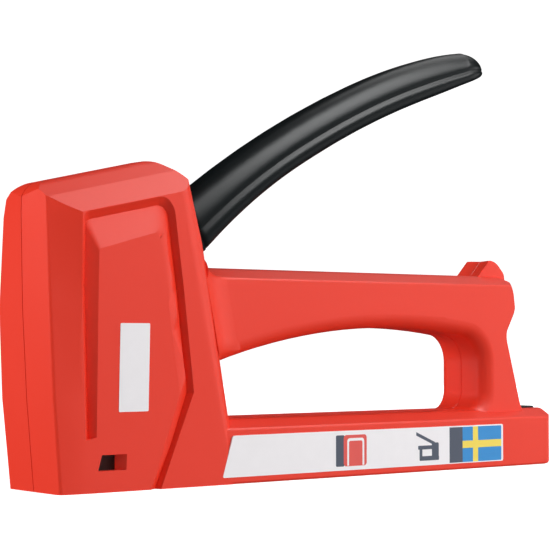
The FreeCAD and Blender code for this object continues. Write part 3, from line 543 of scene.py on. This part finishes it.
class Bench:
    """One mesh under the modelling operators."""

    def __init__(self, piece: Piece) -> None:
        """Put a piece on the bench, as the only one selected.

        Args:
            piece: The piece.
        """
        bpy.ops.object.select_all(action="DESELECT")
        piece.select_set(True)
        bpy.context.view_layer.objects.active = piece
        self.piece = piece

    @classmethod
    def box(cls, name: str, low: Point, high: Point) -> "Bench":
        """A box, to be shaped.

        Args:
            name: The piece's name.
            low: Its lowest corner, in metres.
            high: Its highest corner, in metres.

        Returns:
            The box on the bench.
        """
        middle = [(a + b) / 2 for a, b in zip(low, high)]
        bpy.ops.object.select_all(action="DESELECT")
        bpy.ops.mesh.primitive_cube_add(size=1.0, location=middle, scale=[b - a for a, b in zip(low, high)])
        return cls.started(name)

    @classmethod
    def ring(cls, name: str, radius: float, sides: int, at: Point) -> "Bench":
        """An unfilled circle in the XZ plane, to be swept.

        Args:
            name: The piece's name.
            radius: Its radius, in metres.
            sides: How many points it has.
            at: Its middle.

        Returns:
            The circle on the bench.
        """
        bpy.ops.object.select_all(action="DESELECT")
        upright = (math.pi / 2, 0, 0)
        bpy.ops.mesh.primitive_circle_add(radius=radius, vertices=sides, location=at, rotation=upright)
        return cls.started(name)

    @classmethod
    def swept(cls, name: str, sections: list[list[Vector]]) -> "Bench":
        """A closed form through sections.

        Args:
            name: The piece's name.
            sections: Loops of points in metres, each of the same number.

        Returns:
            The form on the bench.
        """
        count = len(sections[0])
        bench = cls.ring(name, MM, count, (0, 0, 0))
        bench.place(range(count), sections[0])
        bench.edit(Element.EDGE)
        bpy.ops.mesh.edge_face_add()
        bench.close()
        for section in sections[1:]:
            bench.edit(Element.VERTEX, lambda p: False)
            bench.close()
            bench.place(bench.extruded_ring(count), section)
        bench.edit(Element.FACE)
        bpy.ops.mesh.normals_make_consistent(inside=False)
        return bench.close()

    @classmethod
    def copy(cls, node: str, name: str, flatness: float = 0.5) -> "Bench":
        """A copy of a CAD node, merged and with its flat faces whole.

        Args:
            node: The CAD node.
            name: The copy's name.
            flatness: Faces that meet at less than this, in degrees, become one.

        Returns:
            The copy on the bench.
        """
        piece = bpy.data.objects.new(name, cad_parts[node].data.copy())
        piece.data.materials.clear()
        bpy.context.scene.collection.objects.link(piece)
        bench = cls(piece)
        bench.edit(Element.VERTEX)
        bpy.ops.mesh.remove_doubles(threshold=SAME_SPOT)
        bpy.ops.mesh.dissolve_limited(angle_limit=math.radians(flatness))
        return bench.close()

    @classmethod
    def started(cls, name: str) -> "Bench":
        """Name a new primitive and settle its place into its mesh.

        Args:
            name: The piece's name.

        Returns:
            The primitive on the bench.
        """
        bpy.ops.object.transform_apply(location=True, rotation=True, scale=True)
        piece = bpy.context.active_object
        piece.name = piece.data.name = name
        return cls(piece)

    def edit(self, element: Element, test: Optional[Test] = None) -> "Bench":
        """Open edit mode with some elements selected.

        Args:
            element: What is selected.
            test: Whether an element with this centre is selected, or None for all.

        Returns:
            The bench itself.
        """
        bpy.ops.object.mode_set(mode="EDIT")
        bpy.ops.mesh.select_mode(type=element.value)
        bpy.ops.mesh.select_all(action="SELECT" if test is None else "DESELECT")
        if test is not None:
            bpy.ops.object.mode_set(mode="OBJECT")
            mesh = self.piece.data
            spots = [v.co for v in mesh.vertices]
            if element is Element.VERTEX:
                for vertex in mesh.vertices:
                    vertex.select = test(vertex.co)
            elif element is Element.EDGE:
                for edge in mesh.edges:
                    edge.select = test((spots[edge.vertices[0]] + spots[edge.vertices[1]]) / 2)
            else:
                for face in mesh.polygons:
                    face.select = test(face.center)
            bpy.ops.object.mode_set(mode="EDIT")
        return self

    def close(self) -> "Bench":
        """Leave edit mode."""
        bpy.ops.object.mode_set(mode="OBJECT")
        return self

    def modifier(self, kind: str, **settings: object) -> "Bench":
        """Add a modifier and apply it.

        Args:
            kind: The modifier's type.
            settings: Its properties.

        Returns:
            The bench itself.
        """
        added = self.piece.modifiers.new(kind.lower(), kind)
        for key, value in settings.items():
            setattr(added, key, value)
        bpy.ops.object.modifier_apply(modifier=added.name)
        return self

    def rounded(self, width: float, segments: int = 2, angle: float = 28.0) -> "Bench":
        """Round every edge that is sharper than an angle in degrees."""
        return self.modifier("BEVEL", width=width, segments=segments, limit_method="ANGLE",
                             angle_limit=math.radians(angle), use_clamp_overlap=True)

    def bevelled(self, test: Test, width: float, segments: int) -> "Bench":
        """Bevel some edges.

        Args:
            test: Whether an edge with this middle is bevelled.
            width: The bevel's width, in metres.
            segments: How many steps it has.

        Returns:
            The bench itself.
        """
        self.edit(Element.EDGE, test)
        bpy.ops.mesh.bevel(offset=width, segments=segments, clamp_overlap=False)
        return self.close()

    def place(self, numbers: Iterable[int], spots: list[Vector]) -> None:
        """Move the vertices of those numbers to spots."""
        for number, spot in zip(numbers, spots):
            self.piece.data.vertices[number].co = spot

    def extruded_ring(self, count: int) -> range:
        """Extrude the last ring of a sweep.

        Args:
            count: How many vertices a ring has.

        Returns:
            The new ring's vertex numbers.
        """
        last = len(self.piece.data.vertices)
        for number in range(last - count, last):
            self.piece.data.vertices[number].select = True
        bpy.ops.object.mode_set(mode="EDIT")
        bpy.ops.mesh.extrude_region_move()
        bpy.ops.object.mode_set(mode="OBJECT")
        return range(last, last + count)

    def moved(self, test: Test, way: Point, reach: float = 0.0) -> "Bench":
        """Move some vertices.

        Args:
            test: Whether a vertex at this place moves.
            way: How far it moves, in metres.
            reach: How far around them others are drawn along, in metres.

        Returns:
            The bench itself.
        """
        self.edit(Element.VERTEX, test)
        if reach > 0:
            bpy.ops.transform.translate(value=way, use_proportional_edit=True, proportional_size=reach,
                                        proportional_edit_falloff="SMOOTH")
        else:
            bpy.ops.transform.translate(value=way)
        return self.close()

    def mirrored(self, name: str) -> "Bench":
        """A mirrored copy across the middle plane.

        Args:
            name: The copy's name.

        Returns:
            The copy on a bench of its own.
        """
        piece = bpy.data.objects.new(name, self.piece.data.copy())
        bpy.context.scene.collection.objects.link(piece)
        bench = Bench(piece).turned(Matrix.Scale(-1, 4, (0, 1, 0)))
        bench.edit(Element.FACE)
        bpy.ops.mesh.normals_make_consistent(inside=False)
        return bench.close()

    def turned(self, turn: Matrix) -> "Bench":
        """Turn, move or mirror the mesh.

        Args:
            turn: What is done to it.

        Returns:
            The bench itself.
        """
        self.piece.matrix_world = turn
        bpy.ops.object.transform_apply(location=True, rotation=True, scale=True)
        return self

    def done(self, body: Body, slot: str, finish: Finish, angle: float = 35.0, even: bool = True) -> Piece:
        """Shade and dress the piece, and let it ride.

        Args:
            body: The body it moves with.
            slot: The material slot it stands for; not used.
            finish: Its finish.
            angle: Edges flatter than this, in degrees, are shaded smooth.
            even: Whether large faces keep their own normals, as round a bevel.

        Returns:
            The finished piece.
        """
        bpy.ops.object.shade_smooth_by_angle(angle=math.radians(angle))
        if even:
            self.modifier("WEIGHTED_NORMAL", keep_sharp=True, weight=80)
        self.piece.data.materials.clear()
        self.piece.data.materials.append(finish.material())
        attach(self.piece, body.value)
        log.info("%s: %d faces", self.piece.name, len(self.piece.data.polygons))
        return self.piece


def dress(node: str, finish: Finish) -> None:
    """Give a CAD node its finish.

    Args:
        node: The CAD node.
        finish: What it gets.
    """
    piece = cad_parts[node]
    piece.data.materials.clear()
    piece.data.materials.append(finish.material())
    log.info("%s: %s", node, finish.value.name)


# ---- housing ----


@dataclass
class Housing:
    """The red housing's halves, with moulded edges, and the screws that hold them.

    Numbers are in metres. Only panel_rear is in millimetres: place along the part, height, and how far it is
    drawn there.
    """

    edge: float = 0.0006
    parting: float = 0.0002
    seam: float = 0.00001
    corner: Point = (0.0335, 0.0105, 0.0828)
    corner_way: Point = (-0.0014, 0.0, -0.0004)
    corner_reach: float = 0.009
    panel_rear: tuple[Point, ...] = ((25.9, 0.0, 2.2), (35.8, 26.2, 2.8), (30.6, 52.0, 2.1), (26.6, 69.2, 1.4))
    panel_corner_x: Point2 = (0.0240, 0.0269)
    panel_corner_z: Point2 = (0.0690, 0.0712)
    off_side: float = 0.0003
    off_edge: float = 0.0005
    side: float = 0.0142
    flare: float = 0.029
    screw_edge: float = 0.0004

    def build(self) -> None:
        """Make the halves, their fillets round the handle, and dress the screws."""
        for half in ("left_housing", "right_housing"):
            bench = Bench.copy(half, half + "_moulded", 0.05)
            self._draw_corner(bench)
            self._widen_groove(bench)
            bench.bevelled(lambda p: abs(p.y) < self.seam, self.parting, 1)
            shell = bench.rounded(self.edge, 3, 13.0).done(Body.HOUSING, "red_plastic", Finish.RED, 30.0)
            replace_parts(shell, half)
        Collar().build()
        screws = Bench.copy("housing_screws", "housing_screws_turned").rounded(self.screw_edge)
        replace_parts(screws.done(Body.HOUSING, "plated_steel", Finish.PLATED), "housing_screws")

    def _draw_corner(self, bench: Bench) -> None:
        """Draw the head's rear top corner in, so that it rounds off softly."""
        x, y, z = self.corner
        bench.moved(lambda p: p.x > x and abs(p.y) > y and p.z > z, self.corner_way, self.corner_reach)

    def _panel_edge(self, z: float) -> Point2:
        """Find the side panel's rear edge.

        Args:
            z: A height on it.

        Returns:
            Where it lies along the part, and how far it is drawn there.
        """
        height = z / MM
        for (x0, z0, drawn0), (x1, z1, drawn1) in zip(self.panel_rear, self.panel_rear[1:]):
            if height <= z1:
                share = (height - z0) / (z1 - z0)
                return (x0 + (x1 - x0) * share) * MM, (drawn0 + (drawn1 - drawn0) * share) * MM
        x, _, drawn = self.panel_rear[-1]
        return x * MM, drawn * MM

    def _widen_groove(self, bench: Bench) -> None:
        """Draw the side panel's rear edge forwards, so that its slope and the groove behind it widen.

        Args:
            bench: The half.
        """
        (left, right), (low, high) = self.panel_corner_x, self.panel_corner_z
        for vertex in bench.piece.data.vertices:
            place = vertex.co
            if abs(abs(place.y) - self.side - self.flare * place.z) > self.off_side:
                continue
            edge, drawn = self._panel_edge(place.z)
            in_corner = low < place.z < high and left < place.x < right
            if in_corner or (place.z < low and abs(place.x - edge) < self.off_edge):
                vertex.co.x -= drawn


@dataclass
class Collar:
    """The hollow fillets that lead from the head's rear wall into the handle, in millimetres."""

    wall_foot: Point2 = (44.62, 58.6)
    wall_lean: float = 0.205
    top_corner: Point2 = (9.75, 58.6)
    top_radius: float = 1.25
    low_corner: Point2 = (6.9, 38.5)
    low_radius: float = 4.1
    seam: float = 0.15
    corner_steps: int = 7
    side_steps: int = 6
    curve_steps: int = 8
    side_reach: float = 8.5
    side_rise: float = 3.35
    side_in: float = -1.9
    slope: float = 1.37
    top_reach: float = 6.5
    top_rise: float = 5.0
    low_reach: float = 2.0
    low_rise: float = 1.2
    arch: float = 0.31
    sunk: float = 0.03
    root: float = 0.5
    heel: float = -0.6
    toe: Point2 = (-0.4, -0.5)

    def build(self) -> None:
        """Sweep the left fillet round the handle and mirror it."""
        left = Bench.swept("handle_collar_left", [self._section(*spot) for spot in self._outline()])
        right = left.mirrored("handle_collar_right")
        for bench in (right, Bench(left.piece)):
            bench.done(Body.HOUSING, "red_plastic", Finish.RED, 60.0, even=False)

    def _outline(self) -> list[tuple[Point2, Point2]]:
        """Points round half of the handle, from its top edge to the seam below.

        Returns:
            Each point with its outward way.
        """
        top = self._corner(self.top_corner, self.top_radius, 0.0)
        low = self._corner(self.low_corner, self.low_radius, 90.0)
        (y, above), (_, below) = top[-1][0], low[0][0]
        steps = self.side_steps
        side = [((y, above + (below - above) * step / steps), (1.0, 0.0)) for step in range(1, steps)]
        return top + side + low + [((self.seam, self.low_corner[1] - self.low_radius), (0.0, -1.0))]

    def _corner(self, middle: Point2, radius: float, start: float) -> list[tuple[Point2, Point2]]:
        """Points round a corner of the handle.

        Args:
            middle: The middle of its arc.
            radius: The arc's radius.
            start: Where the arc starts, in degrees from straight up.

        Returns:
            Each point with its outward way.
        """
        spots = []
        for step in range(self.corner_steps + 1):
            turn = math.radians(start + 90.0 * step / self.corner_steps)
            way = (math.sin(turn), math.cos(turn))
            spots.append(((middle[0] + way[0] * radius, middle[1] + way[1] * radius), way))
        return spots

    def _section(self, spot: Point2, way: Point2) -> list[Vector]:
        """The fillet's section at a point of the outline.

        Args:
            spot: The point.
            way: Its outward way.

        Returns:
            The section's loop, in metres.
        """
        level = abs(way[1])
        end_reach, end_rise = (self.top_reach, self.top_rise) if way[1] > 0 else (self.low_reach, self.low_rise)
        reach = self.side_reach + (end_reach - self.side_reach) * level
        rise = self.side_rise + (end_rise - self.side_rise) * level
        inward = self.side_in * (1 - level)
        start, end = Vector((reach, -self.sunk)), Vector((inward, rise))
        bend = Vector((inward + rise * self.slope * (1 - level), -self.sunk))
        line = []
        for step in range(self.curve_steps + 1):
            t = step / self.curve_steps
            line.append(start * (1 - t) ** 2 + bend * 2 * t * (1 - t) + end * t * t)
        line.append(Vector((inward - self.root, rise - self.root)))
        line.append(Vector((inward - self.root, self.heel)))
        line.append(Vector((reach + self.toe[0], self.toe[1])))
        return [self._spot(spot, way, along, off) for along, off in line]

    def _spot(self, spot: Point2, way: Point2, along: float, off: float) -> Vector:
        """A point behind the leaning wall.

        Args:
            spot: A point of the outline.
            way: Its outward way.
            along: How far behind the wall.
            off: How far outwards.

        Returns:
            The point, in metres.
        """
        y, z = spot[0] + way[0] * off, spot[1] + way[1] * off
        z += max(0.0, -way[1]) * max(0.0, along) * self.arch
        wall = self.wall_foot[0] + (self.wall_foot[1] - z) * self.wall_lean
        return Vector((wall + along, -y, z)) * MM


@dataclass
class Prints:
    """The label on the base and the blank plate on the head, in metres."""

    side: float = 0.0142
    flare: float = 0.029
    film: float = 0.00012
    sunk: float = 0.0002
    near: float = 0.0001
    label_x: Point2 = (0.0484, 0.1622)
    label_z: Point2 = (0.0020, 0.0139)
    label_corner: float = 0.0006
    slant: float = 0.0034
    lifted: float = 0.0062
    lean: float = 0.032
    plate_x: Point2 = (0.0127, 0.0224)
    plate_z: Point2 = (0.0217, 0.0459)
    plate_corner: float = 0.0003

    def build(self) -> None:
        """Make both films."""
        self._label()
        self._plate()

    def _label(self) -> None:
        """The long label: its slanted front end leans out with the head's side."""
        (front, rear), (low, high) = self.label_x, self.label_z
        face = -self.side
        bench = Bench.box("base_label", (front, face - self.film, low), (rear, face + self.sunk, high))
        bench.moved(lambda p: p.x < front + MM and p.z > high - MM, (self.slant, 0, 0))
        bench.bevelled(
            lambda p: abs(p.y - face) < self.near and min(p.z - low, high - p.z) < self.near,
            self.label_corner, 4,
        )
        bench.edit(Element.FACE)
        bpy.ops.mesh.bisect(plane_co=(front + self.lifted, 0, 0), plane_no=(1, 0, 0))
        bench.close()
        for vertex in bench.piece.data.vertices:
            if vertex.co.x < front + self.lifted - MM and vertex.co.y < face:
                vertex.co.y -= (vertex.co.z - low) * self.lean
        bench.done(Body.HOUSING, "red_plastic", Finish.PRINT)

    def _plate(self) -> None:
        """The plain plate, which lies on the head's leaning side."""
        (left, right), (low, high) = self.plate_x, self.plate_z
        bench = Bench.box("head_plate", (left, -self.film, low), (right, self.sunk, high))
        for at in (low, high):
            bench.moved(lambda p: abs(p.z - at) < MM, (0, -self.side - self.flare * at, 0))
        middle, quarter = (low + high) / 2, (high - low) / 4
        bench.bevelled(
            lambda p: min(abs(p.x - left), abs(p.x - right)) < self.near and abs(p.z - middle) > quarter,
            self.plate_corner, 3,
        )
        bench.done(Body.HOUSING, "red_plastic", Finish.BLANK)


# ---- lever and works ----


@dataclass(frozen=True)
class Outline:
    """A line through corners in the XZ plane, in millimetres. Each corner has a radius."""

    corners: tuple[Point, ...]

    @staticmethod
    def _arc(before: Vector, corner: Vector, after: Vector, radius: float) -> list[Vector]:
        """The arc that rounds a corner.

        Args:
            before: The corner before it.
            corner: The corner.
            after: The corner after it.
            radius: The arc's radius.

        Returns:
            Points of the arc.
        """
        back, ahead = (before - corner).normalized(), (after - corner).normalized()
        half = back.angle(ahead) / 2
        reach = radius / math.tan(half)
        centre = corner + (back + ahead).normalized() * (radius / math.sin(half))
        start, end = corner + back * reach - centre, corner + ahead * reach - centre
        turn = start.angle(end)
        count = max(2, math.ceil(turn / ARC_STEP))
        spots = []
        for step in range(count + 1):
            share = step / count
            arm = start * math.sin((1 - share) * turn) + end * math.sin(share * turn)
            spots.append(centre + arm / math.sin(turn))
        return spots

    def stations(self, count: int) -> list[Vector]:
        """Points at even steps along the line.

        Args:
            count: How many steps.

        Returns:
            One point more than the steps.
        """
        spots = [Vector(corner[:2]) for corner in self.corners]
        line = [spots[0]]
        for before, corner, after, (_, _, radius) in zip(spots, spots[1:], spots[2:], self.corners[1:]):
            line += self._arc(before, corner, after, radius) if radius else [corner]
        line.append(spots[-1])
        runs = [(b - a).length for a, b in zip(line, line[1:])]
        total = sum(runs)
        found, index, walked = [], 0, 0.0
        for step in range(count + 1):
            goal = total * step / count
            while index < len(runs) - 1 and walked + runs[index] < goal:
                walked += runs[index]
                index += 1
            found.append(line[index].lerp(line[index + 1], min(1.0, (goal - walked) / runs[index])))
        return found


@dataclass
class Lever:
    """The black squeeze lever: a channel swept along its back and belly, its root on the pivot, and its arm.

    The skin and the lining are half of the section: a share of the half width, and a share of the way from
    back to belly. Lengths are in millimetres, but the cut and the edges are in metres.
    """

    back: Outline = Outline((
        (39.2, 80.2, 0), (76.0, 106.7, 350), (124.2, 128.0, 220), (148.8, 135.2, 110), (161.6, 137.0, 11),
        (165.5, 130.2, 0),
    ))
    belly: Outline = Outline((
        (45.4, 66.7, 0), (64.6, 84.6, 184), (109.2, 109.5, 310), (155.5, 126.5, 0), (165.3, 129.9, 0),
    ))
    half_width: float = 8.8
    tip_length: float = 10.0
    tip_blunt: float = 0.015
    solid_from: float = 148.0
    solid_run: float = 10.0
    solid_share: float = 0.97
    steps: int = 44
    skin: tuple[Point2, ...] = (
        (0.0, -0.015), (0.34, 0.01), (0.60, 0.10), (0.78, 0.25), (0.90, 0.42), (0.955, 0.555), (0.925, 0.63),
        (0.97, 0.675), (1.025, 0.73), (1.055, 0.80), (1.045, 0.90), (1.0, 0.99), (0.91, 1.05),
    )
    lining: tuple[Point2, ...] = ((0.78, 1.03), (0.70, 0.90), (0.69, 0.45), (0.56, 0.23), (0.0, 0.16))
    cut_at: Point = (0.0400, 0.0, 0.0806)
    cut_way: Point = (0.908, 0.0, 0.417)
    root_edge: float = 0.0004
    arm_edge: float = 0.0002

    def build(self) -> None:
        """Sweep the grip, cut the root from the CAD lever and dress the arm."""
        grip = self._grip().done(Body.LEVER, "black_plastic", Finish.BLACK, 60.0, even=False)
        root = self._root().done(Body.LEVER, "black_plastic", Finish.BLACK)
        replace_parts(grip, "lever")
        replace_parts(root, "lever")
        arm = Bench.copy("lift_arm", "lift_arm_stamped").rounded(self.arm_edge)
        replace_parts(arm.done(Body.LEVER, "plated_steel", Finish.PLATED), "lift_arm")

    def _section(self, top: Vector, low: Vector) -> list[Vector]:
        """The grip's section at a station.

        Args:
            top: The station's point of the back.
            low: Its point of the belly.

        Returns:
            The section's loop, in metres.
        """
        past = max(0.0, top.x - (self.back.corners[-1][0] - self.tip_length)) / self.tip_length
        width = self.half_width * math.sqrt(max(0.0, 1 - past ** 2) * (1 - self.tip_blunt) + self.tip_blunt)
        solid = min(1.0, max(0.0, (top.x - self.solid_from) / self.solid_run))
        half = [*self.skin, *((y, s + (self.solid_share - s) * solid) for y, s in self.lining)]
        loop = half + [(-y, s) for y, s in reversed(half[1:-1])]
        places = [top.lerp(low, s) for _, s in loop]
        return [Vector((place.x, y * width, place.y)) * MM for (y, _), place in zip(loop, places)]

    def _grip(self) -> Bench:
        """The swept channel with its rounded tip.

        Returns:
            The grip on the bench.
        """
        tops, lows = self.back.stations(self.steps), self.belly.stations(self.steps)
        bench = Bench.swept("lever_grip", [self._section(top, low) for top, low in zip(tops, lows)])
        return bench.modifier("SUBSURF", levels=2, render_levels=2)

    def _root(self) -> Bench:
        """The ears on the pivot, cut from the CAD lever along the line where the grip starts.

        Returns:
            The root on the bench.
        """
        bench = Bench.copy("lever", "lever_root")
        bench.edit(Element.VERTEX)
        bpy.ops.mesh.bisect(plane_co=self.cut_at, plane_no=self.cut_way, use_fill=True, clear_outer=True)
        return bench.close().rounded(self.root_edge)


@dataclass
class Coil:
    """A coil spring of round wire, in metres."""

    name: str
    node: str
    body: Body
    joint: str
    travel: float
    radius: float
    wire: float
    turns: float
    foot: Point
    height: float
    lying: bool = False
    anchored_at_foot: bool = False
    wire_sides: int = 10
    turn_steps: int = 22

    @classmethod
    def fitted(
        cls, name: str, node: str, body: Body, joint: str, travel: float, wire: float, turns: float,
        lying: bool,
    ) -> "Coil":
        """A spring in the place of a CAD spring, from its box.

        Args:
            name: The spring's name.
            node: The CAD spring.
            body: The body it rides on.
            joint: The joint that presses it; not used.
            travel: How much shorter it is at the joint's upper limit; not used.
            wire: The wire's radius.
            turns: How many turns it has.
            lying: Whether it lies along the part. If not, it stands.

        Returns:
            The spring, noted as anchored at its foot if it stands and at its far end if it lies.
        """
        low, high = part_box(node)
        middle = (low + high) / 2
        foot = (low.x, middle.y, middle.z) if lying else (middle.x, middle.y, low.z)
        height = high.x - low.x if lying else high.z - low.z
        radius = (high.y - low.y) / 2 - wire
        return cls(name, node, body, joint, travel, radius, wire, turns, foot, height, lying, not lying)

    def build(self) -> None:
        """Wind the spring and stand it at its foot."""
        bench = Bench.ring(self.name, self.wire, self.wire_sides, (self.radius, 0, self.wire))
        steps = round(self.turns * self.turn_steps)
        rise = self.height - 2 * self.wire
        bench.modifier("SCREW", angle=math.tau * self.turns, screw_offset=rise, iterations=1,
                       steps=steps, render_steps=steps, use_merge_vertices=False)
        bench.edit(Element.VERTEX, lambda p: False)
        bpy.ops.mesh.select_non_manifold()
        bpy.ops.mesh.fill_holes(sides=0)
        bpy.ops.mesh.select_all(action="SELECT")
        bpy.ops.mesh.normals_make_consistent(inside=False)
        bench.close()
        lean = Matrix.Rotation(math.pi / 2, 4, "Y") if self.lying else Matrix.Identity(4)
        bench.turned(Matrix.Translation(self.foot) @ lean)
        spring = bench.done(self.body, "spring_steel", Finish.WIRE, 60.0)
        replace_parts(spring, self.node)
        axis = Vector((1, 0, 0)) if self.lying else Vector((0, 0, 1))
        anchor = Vector(self.foot) + axis * (0.0 if self.anchored_at_foot else self.height)
        1 - self.travel / self.height
        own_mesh(spring)


@dataclass
class Works:
    """Hammer, blade and springs inside the head, in metres."""

    spring_foot: Point = (0.005, 0.0, 0.058)
    spring_radius: float = 0.0053
    spring_wire: float = 0.00095
    spring_turns: float = 5.0
    travel: float = 0.0128

    def build(self) -> None:
        """Wind the power spring between the hammer and its seat, and dress the steel pieces."""
        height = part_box("spring_seat")[0].z - self.spring_foot[2]
        Coil("power_spring_wound", "power_spring", Body.HOUSING, "hammer_lift", self.travel, self.spring_radius,
             self.spring_wire, self.spring_turns, self.spring_foot, height).build()
        for node, finish in (
            ("pivot_pin", Finish.GROUND), ("lifting_pin", Finish.GROUND), ("arm_rivet", Finish.GROUND),
            ("hammer", Finish.GROUND), ("driver_blade", Finish.GROUND), ("spring_seat", Finish.PLATED),
            ("bumper", Finish.RUBBER), ("lever_spring", Finish.WIRE),
        ):
            dress(node, finish)


@dataclass
class Magazine:
    """Channel, rail, staples, pusher and the black end with its latch, in metres."""

    pusher_travel: float = 0.06
    pusher_wire: float = 0.0002
    pusher_turns: float = 26.0
    latch_travel: float = 0.0012
    latch_wire: float = 0.00018
    latch_turns: float = 5.0

    def build(self) -> None:
        """Make the sheet steel and plastic pieces, dress the rest and wind the springs."""
        for node, body, finish, slot, edge in (
            ("nose_guide", Body.HOUSING, Finish.PLATED, "plated_steel", 0.00025),
            ("magazine_channel", Body.HOUSING, Finish.PLATED, "plated_steel", 0.0002),
            ("magazine_rail", Body.MAGAZINE, Finish.PLATED, "plated_steel", 0.00015),
            ("magazine_end", Body.MAGAZINE, Finish.DARK, "dark_plastic", 0.0004),
            ("magazine_latch", Body.LATCH, Finish.DARK, "dark_plastic", 0.0003),
            ("pusher", Body.PUSHER, Finish.PLATED, "plated_steel", 0.00025),
        ):
            piece = Bench.copy(node, node + "_finished").rounded(edge).done(body, slot, finish)
            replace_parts(piece, node)
        dress("staple_strip", Finish.STAPLE)
        dress("pusher_rod", Finish.GROUND)
        Coil.fitted("pusher_spring_wound", "pusher_spring", Body.MAGAZINE, "pusher_slide", self.pusher_travel,
                    self.pusher_wire, self.pusher_turns, lying=True).build()
        Coil.fitted("latch_spring_wound", "latch_spring", Body.MAGAZINE, "latch_press", self.latch_travel,
                    self.latch_wire, self.latch_turns, lying=False).build()


# ---- studio ----


@dataclass
class Softbox:
    """A square studio light that faces the tool.

    A level is the light that a white face square to it sends back.
    """

    name: str
    towards: Point
    fill: float
    sheen: float
    distance: float = 1.0
    size: float = 0.5
    middle: Point = (0.08, 0.0, 0.06)

    def build(self) -> None:
        """Hang the lamp that fills and the one that shows only in gloss."""
        for kind, level, hidden in (
            ("fill", self.fill, "visible_glossy"), ("sheen", self.sheen, "visible_diffuse"),
        ):
            if level > 0:
                setattr(self._lamp(f"{self.name}_{kind}", level), hidden, False)

    def _lamp(self, name: str, level: float) -> Piece:
        """Hang one lamp.

        Args:
            name: The lamp's name.
            level: Its level.

        Returns:
            The lamp.
        """
        lamp = bpy.data.lights.new(name, "AREA")
        lamp.shape = "SQUARE"
        lamp.size = self.size
        lamp.energy = level * (math.pi * self.distance) ** 2
        holder = bpy.data.objects.new(name, lamp)
        bpy.context.scene.collection.objects.link(holder)
        way = Vector(self.towards).normalized()
        holder.location = Vector(self.middle) + way * self.distance
        holder.rotation_euler = way.to_track_quat("Z", "Y").to_euler()
        holder.visible_camera = False
        return holder


@dataclass
class Studio:
    """Pale floor that curves up into a round backdrop, soft lights and the camera. Angles are in degrees."""

    eye: Point = (-0.2473, -0.4099, 0.0418)
    yaw: float = 38.5
    pitch: float = 2.09
    lens: float = 113.2
    sensor: float = 36.0
    sky: float = 0.36
    reach: float = 3.0
    sweep: float = 1.8
    lights: tuple[Softbox, ...] = (
        Softbox("right_softbox", (0.48, -0.80, 0.42), 0.66, 0.11),
        Softbox("left_softbox", (-0.97, 0.30, 0.20), 0.68, 0.0),
        Softbox("far_left_softbox", (-0.80, 0.55, 0.10), 0.0, 0.12),
        Softbox("high_softbox", (0.30, -0.50, 0.80), 0.0, 0.90),
        Softbox("top_softbox", (0.50, 0.20, 0.80), 0.0, 0.15),
        Softbox("side_softbox", (0.90, -0.40, 0.10), 0.0, 0.145),
        Softbox("low_softbox", (0.60, -0.70, -0.30), 0.12, 0.04),
        Softbox("rear_softbox", (0.90, 0.75, 0.10), 0.15, 0.0),
    )

    def build(self) -> None:
        """Set the studio up."""
        self._backdrop()
        self._camera()
        for light in self.lights:
            light.build()
        self._sky()
        bpy.context.scene.view_settings.view_transform = "Standard"

    def _sky(self) -> None:
        """An even white sky, which lights the tool and isn't mirrored in it."""
        world = bpy.data.worlds.new("studio_sky")
        bpy.context.scene.world = world
        world.use_nodes = True
        background = world.node_tree.nodes["Background"]
        background.inputs["Color"].default_value = (1.0, 1.0, 1.0, 1.0)
        background.inputs["Strength"].default_value = self.sky
        world.cycles_visibility.glossy = False

    def _backdrop(self) -> None:
        """The floor and the wall round it, which take the tool's shadow and light nothing."""
        low = min(corner[2] for corner in CAD_BOX)
        bpy.ops.object.select_all(action="DESELECT")
        bpy.ops.mesh.primitive_cylinder_add(vertices=96, radius=self.reach, depth=2 * self.reach,
                                            location=(0.0, 0.0, low + self.reach))
        bench = Bench.started("studio_backdrop")
        bench.bevelled(lambda p: abs(p.z - low) < MM and p.xy.length > self.reach * 0.9, self.sweep, 16)
        bench.edit(Element.FACE)
        bpy.ops.mesh.normals_make_consistent(inside=True)
        bench.close()
        bpy.ops.object.shade_smooth_by_angle(angle=math.radians(60.0))
        stage = bench.piece
        stage.data.materials.append(Finish.FLOOR.material())
        for rays in ("visible_diffuse", "visible_glossy", "visible_transmission", "visible_shadow"):
            setattr(stage, rays, False)

    def _camera(self) -> None:
        """The camera at the tool's front left."""
        data = bpy.data.cameras.new("studio_camera")
        data.lens = self.lens
        data.sensor_width = self.sensor
        data.clip_start = 0.01
        camera = bpy.data.objects.new("studio_camera", data)
        bpy.context.scene.collection.objects.link(camera)
        camera.location = self.eye
        camera.rotation_euler = Euler((math.radians(90.0 + self.pitch), 0.0, math.radians(-self.yaw)))
        bpy.context.scene.camera = camera


def main() -> None:
    """Build the tool's looks and the studio."""
    logging.basicConfig(level=logging.INFO, format="%(name)s: %(message)s")
    for assembly in (Housing(), Prints(), Lever(), Works(), Magazine(), Studio()):
        assembly.build()
        log.info("%s is built", type(assembly).__name__)


if __name__ == "__main__":
    main()
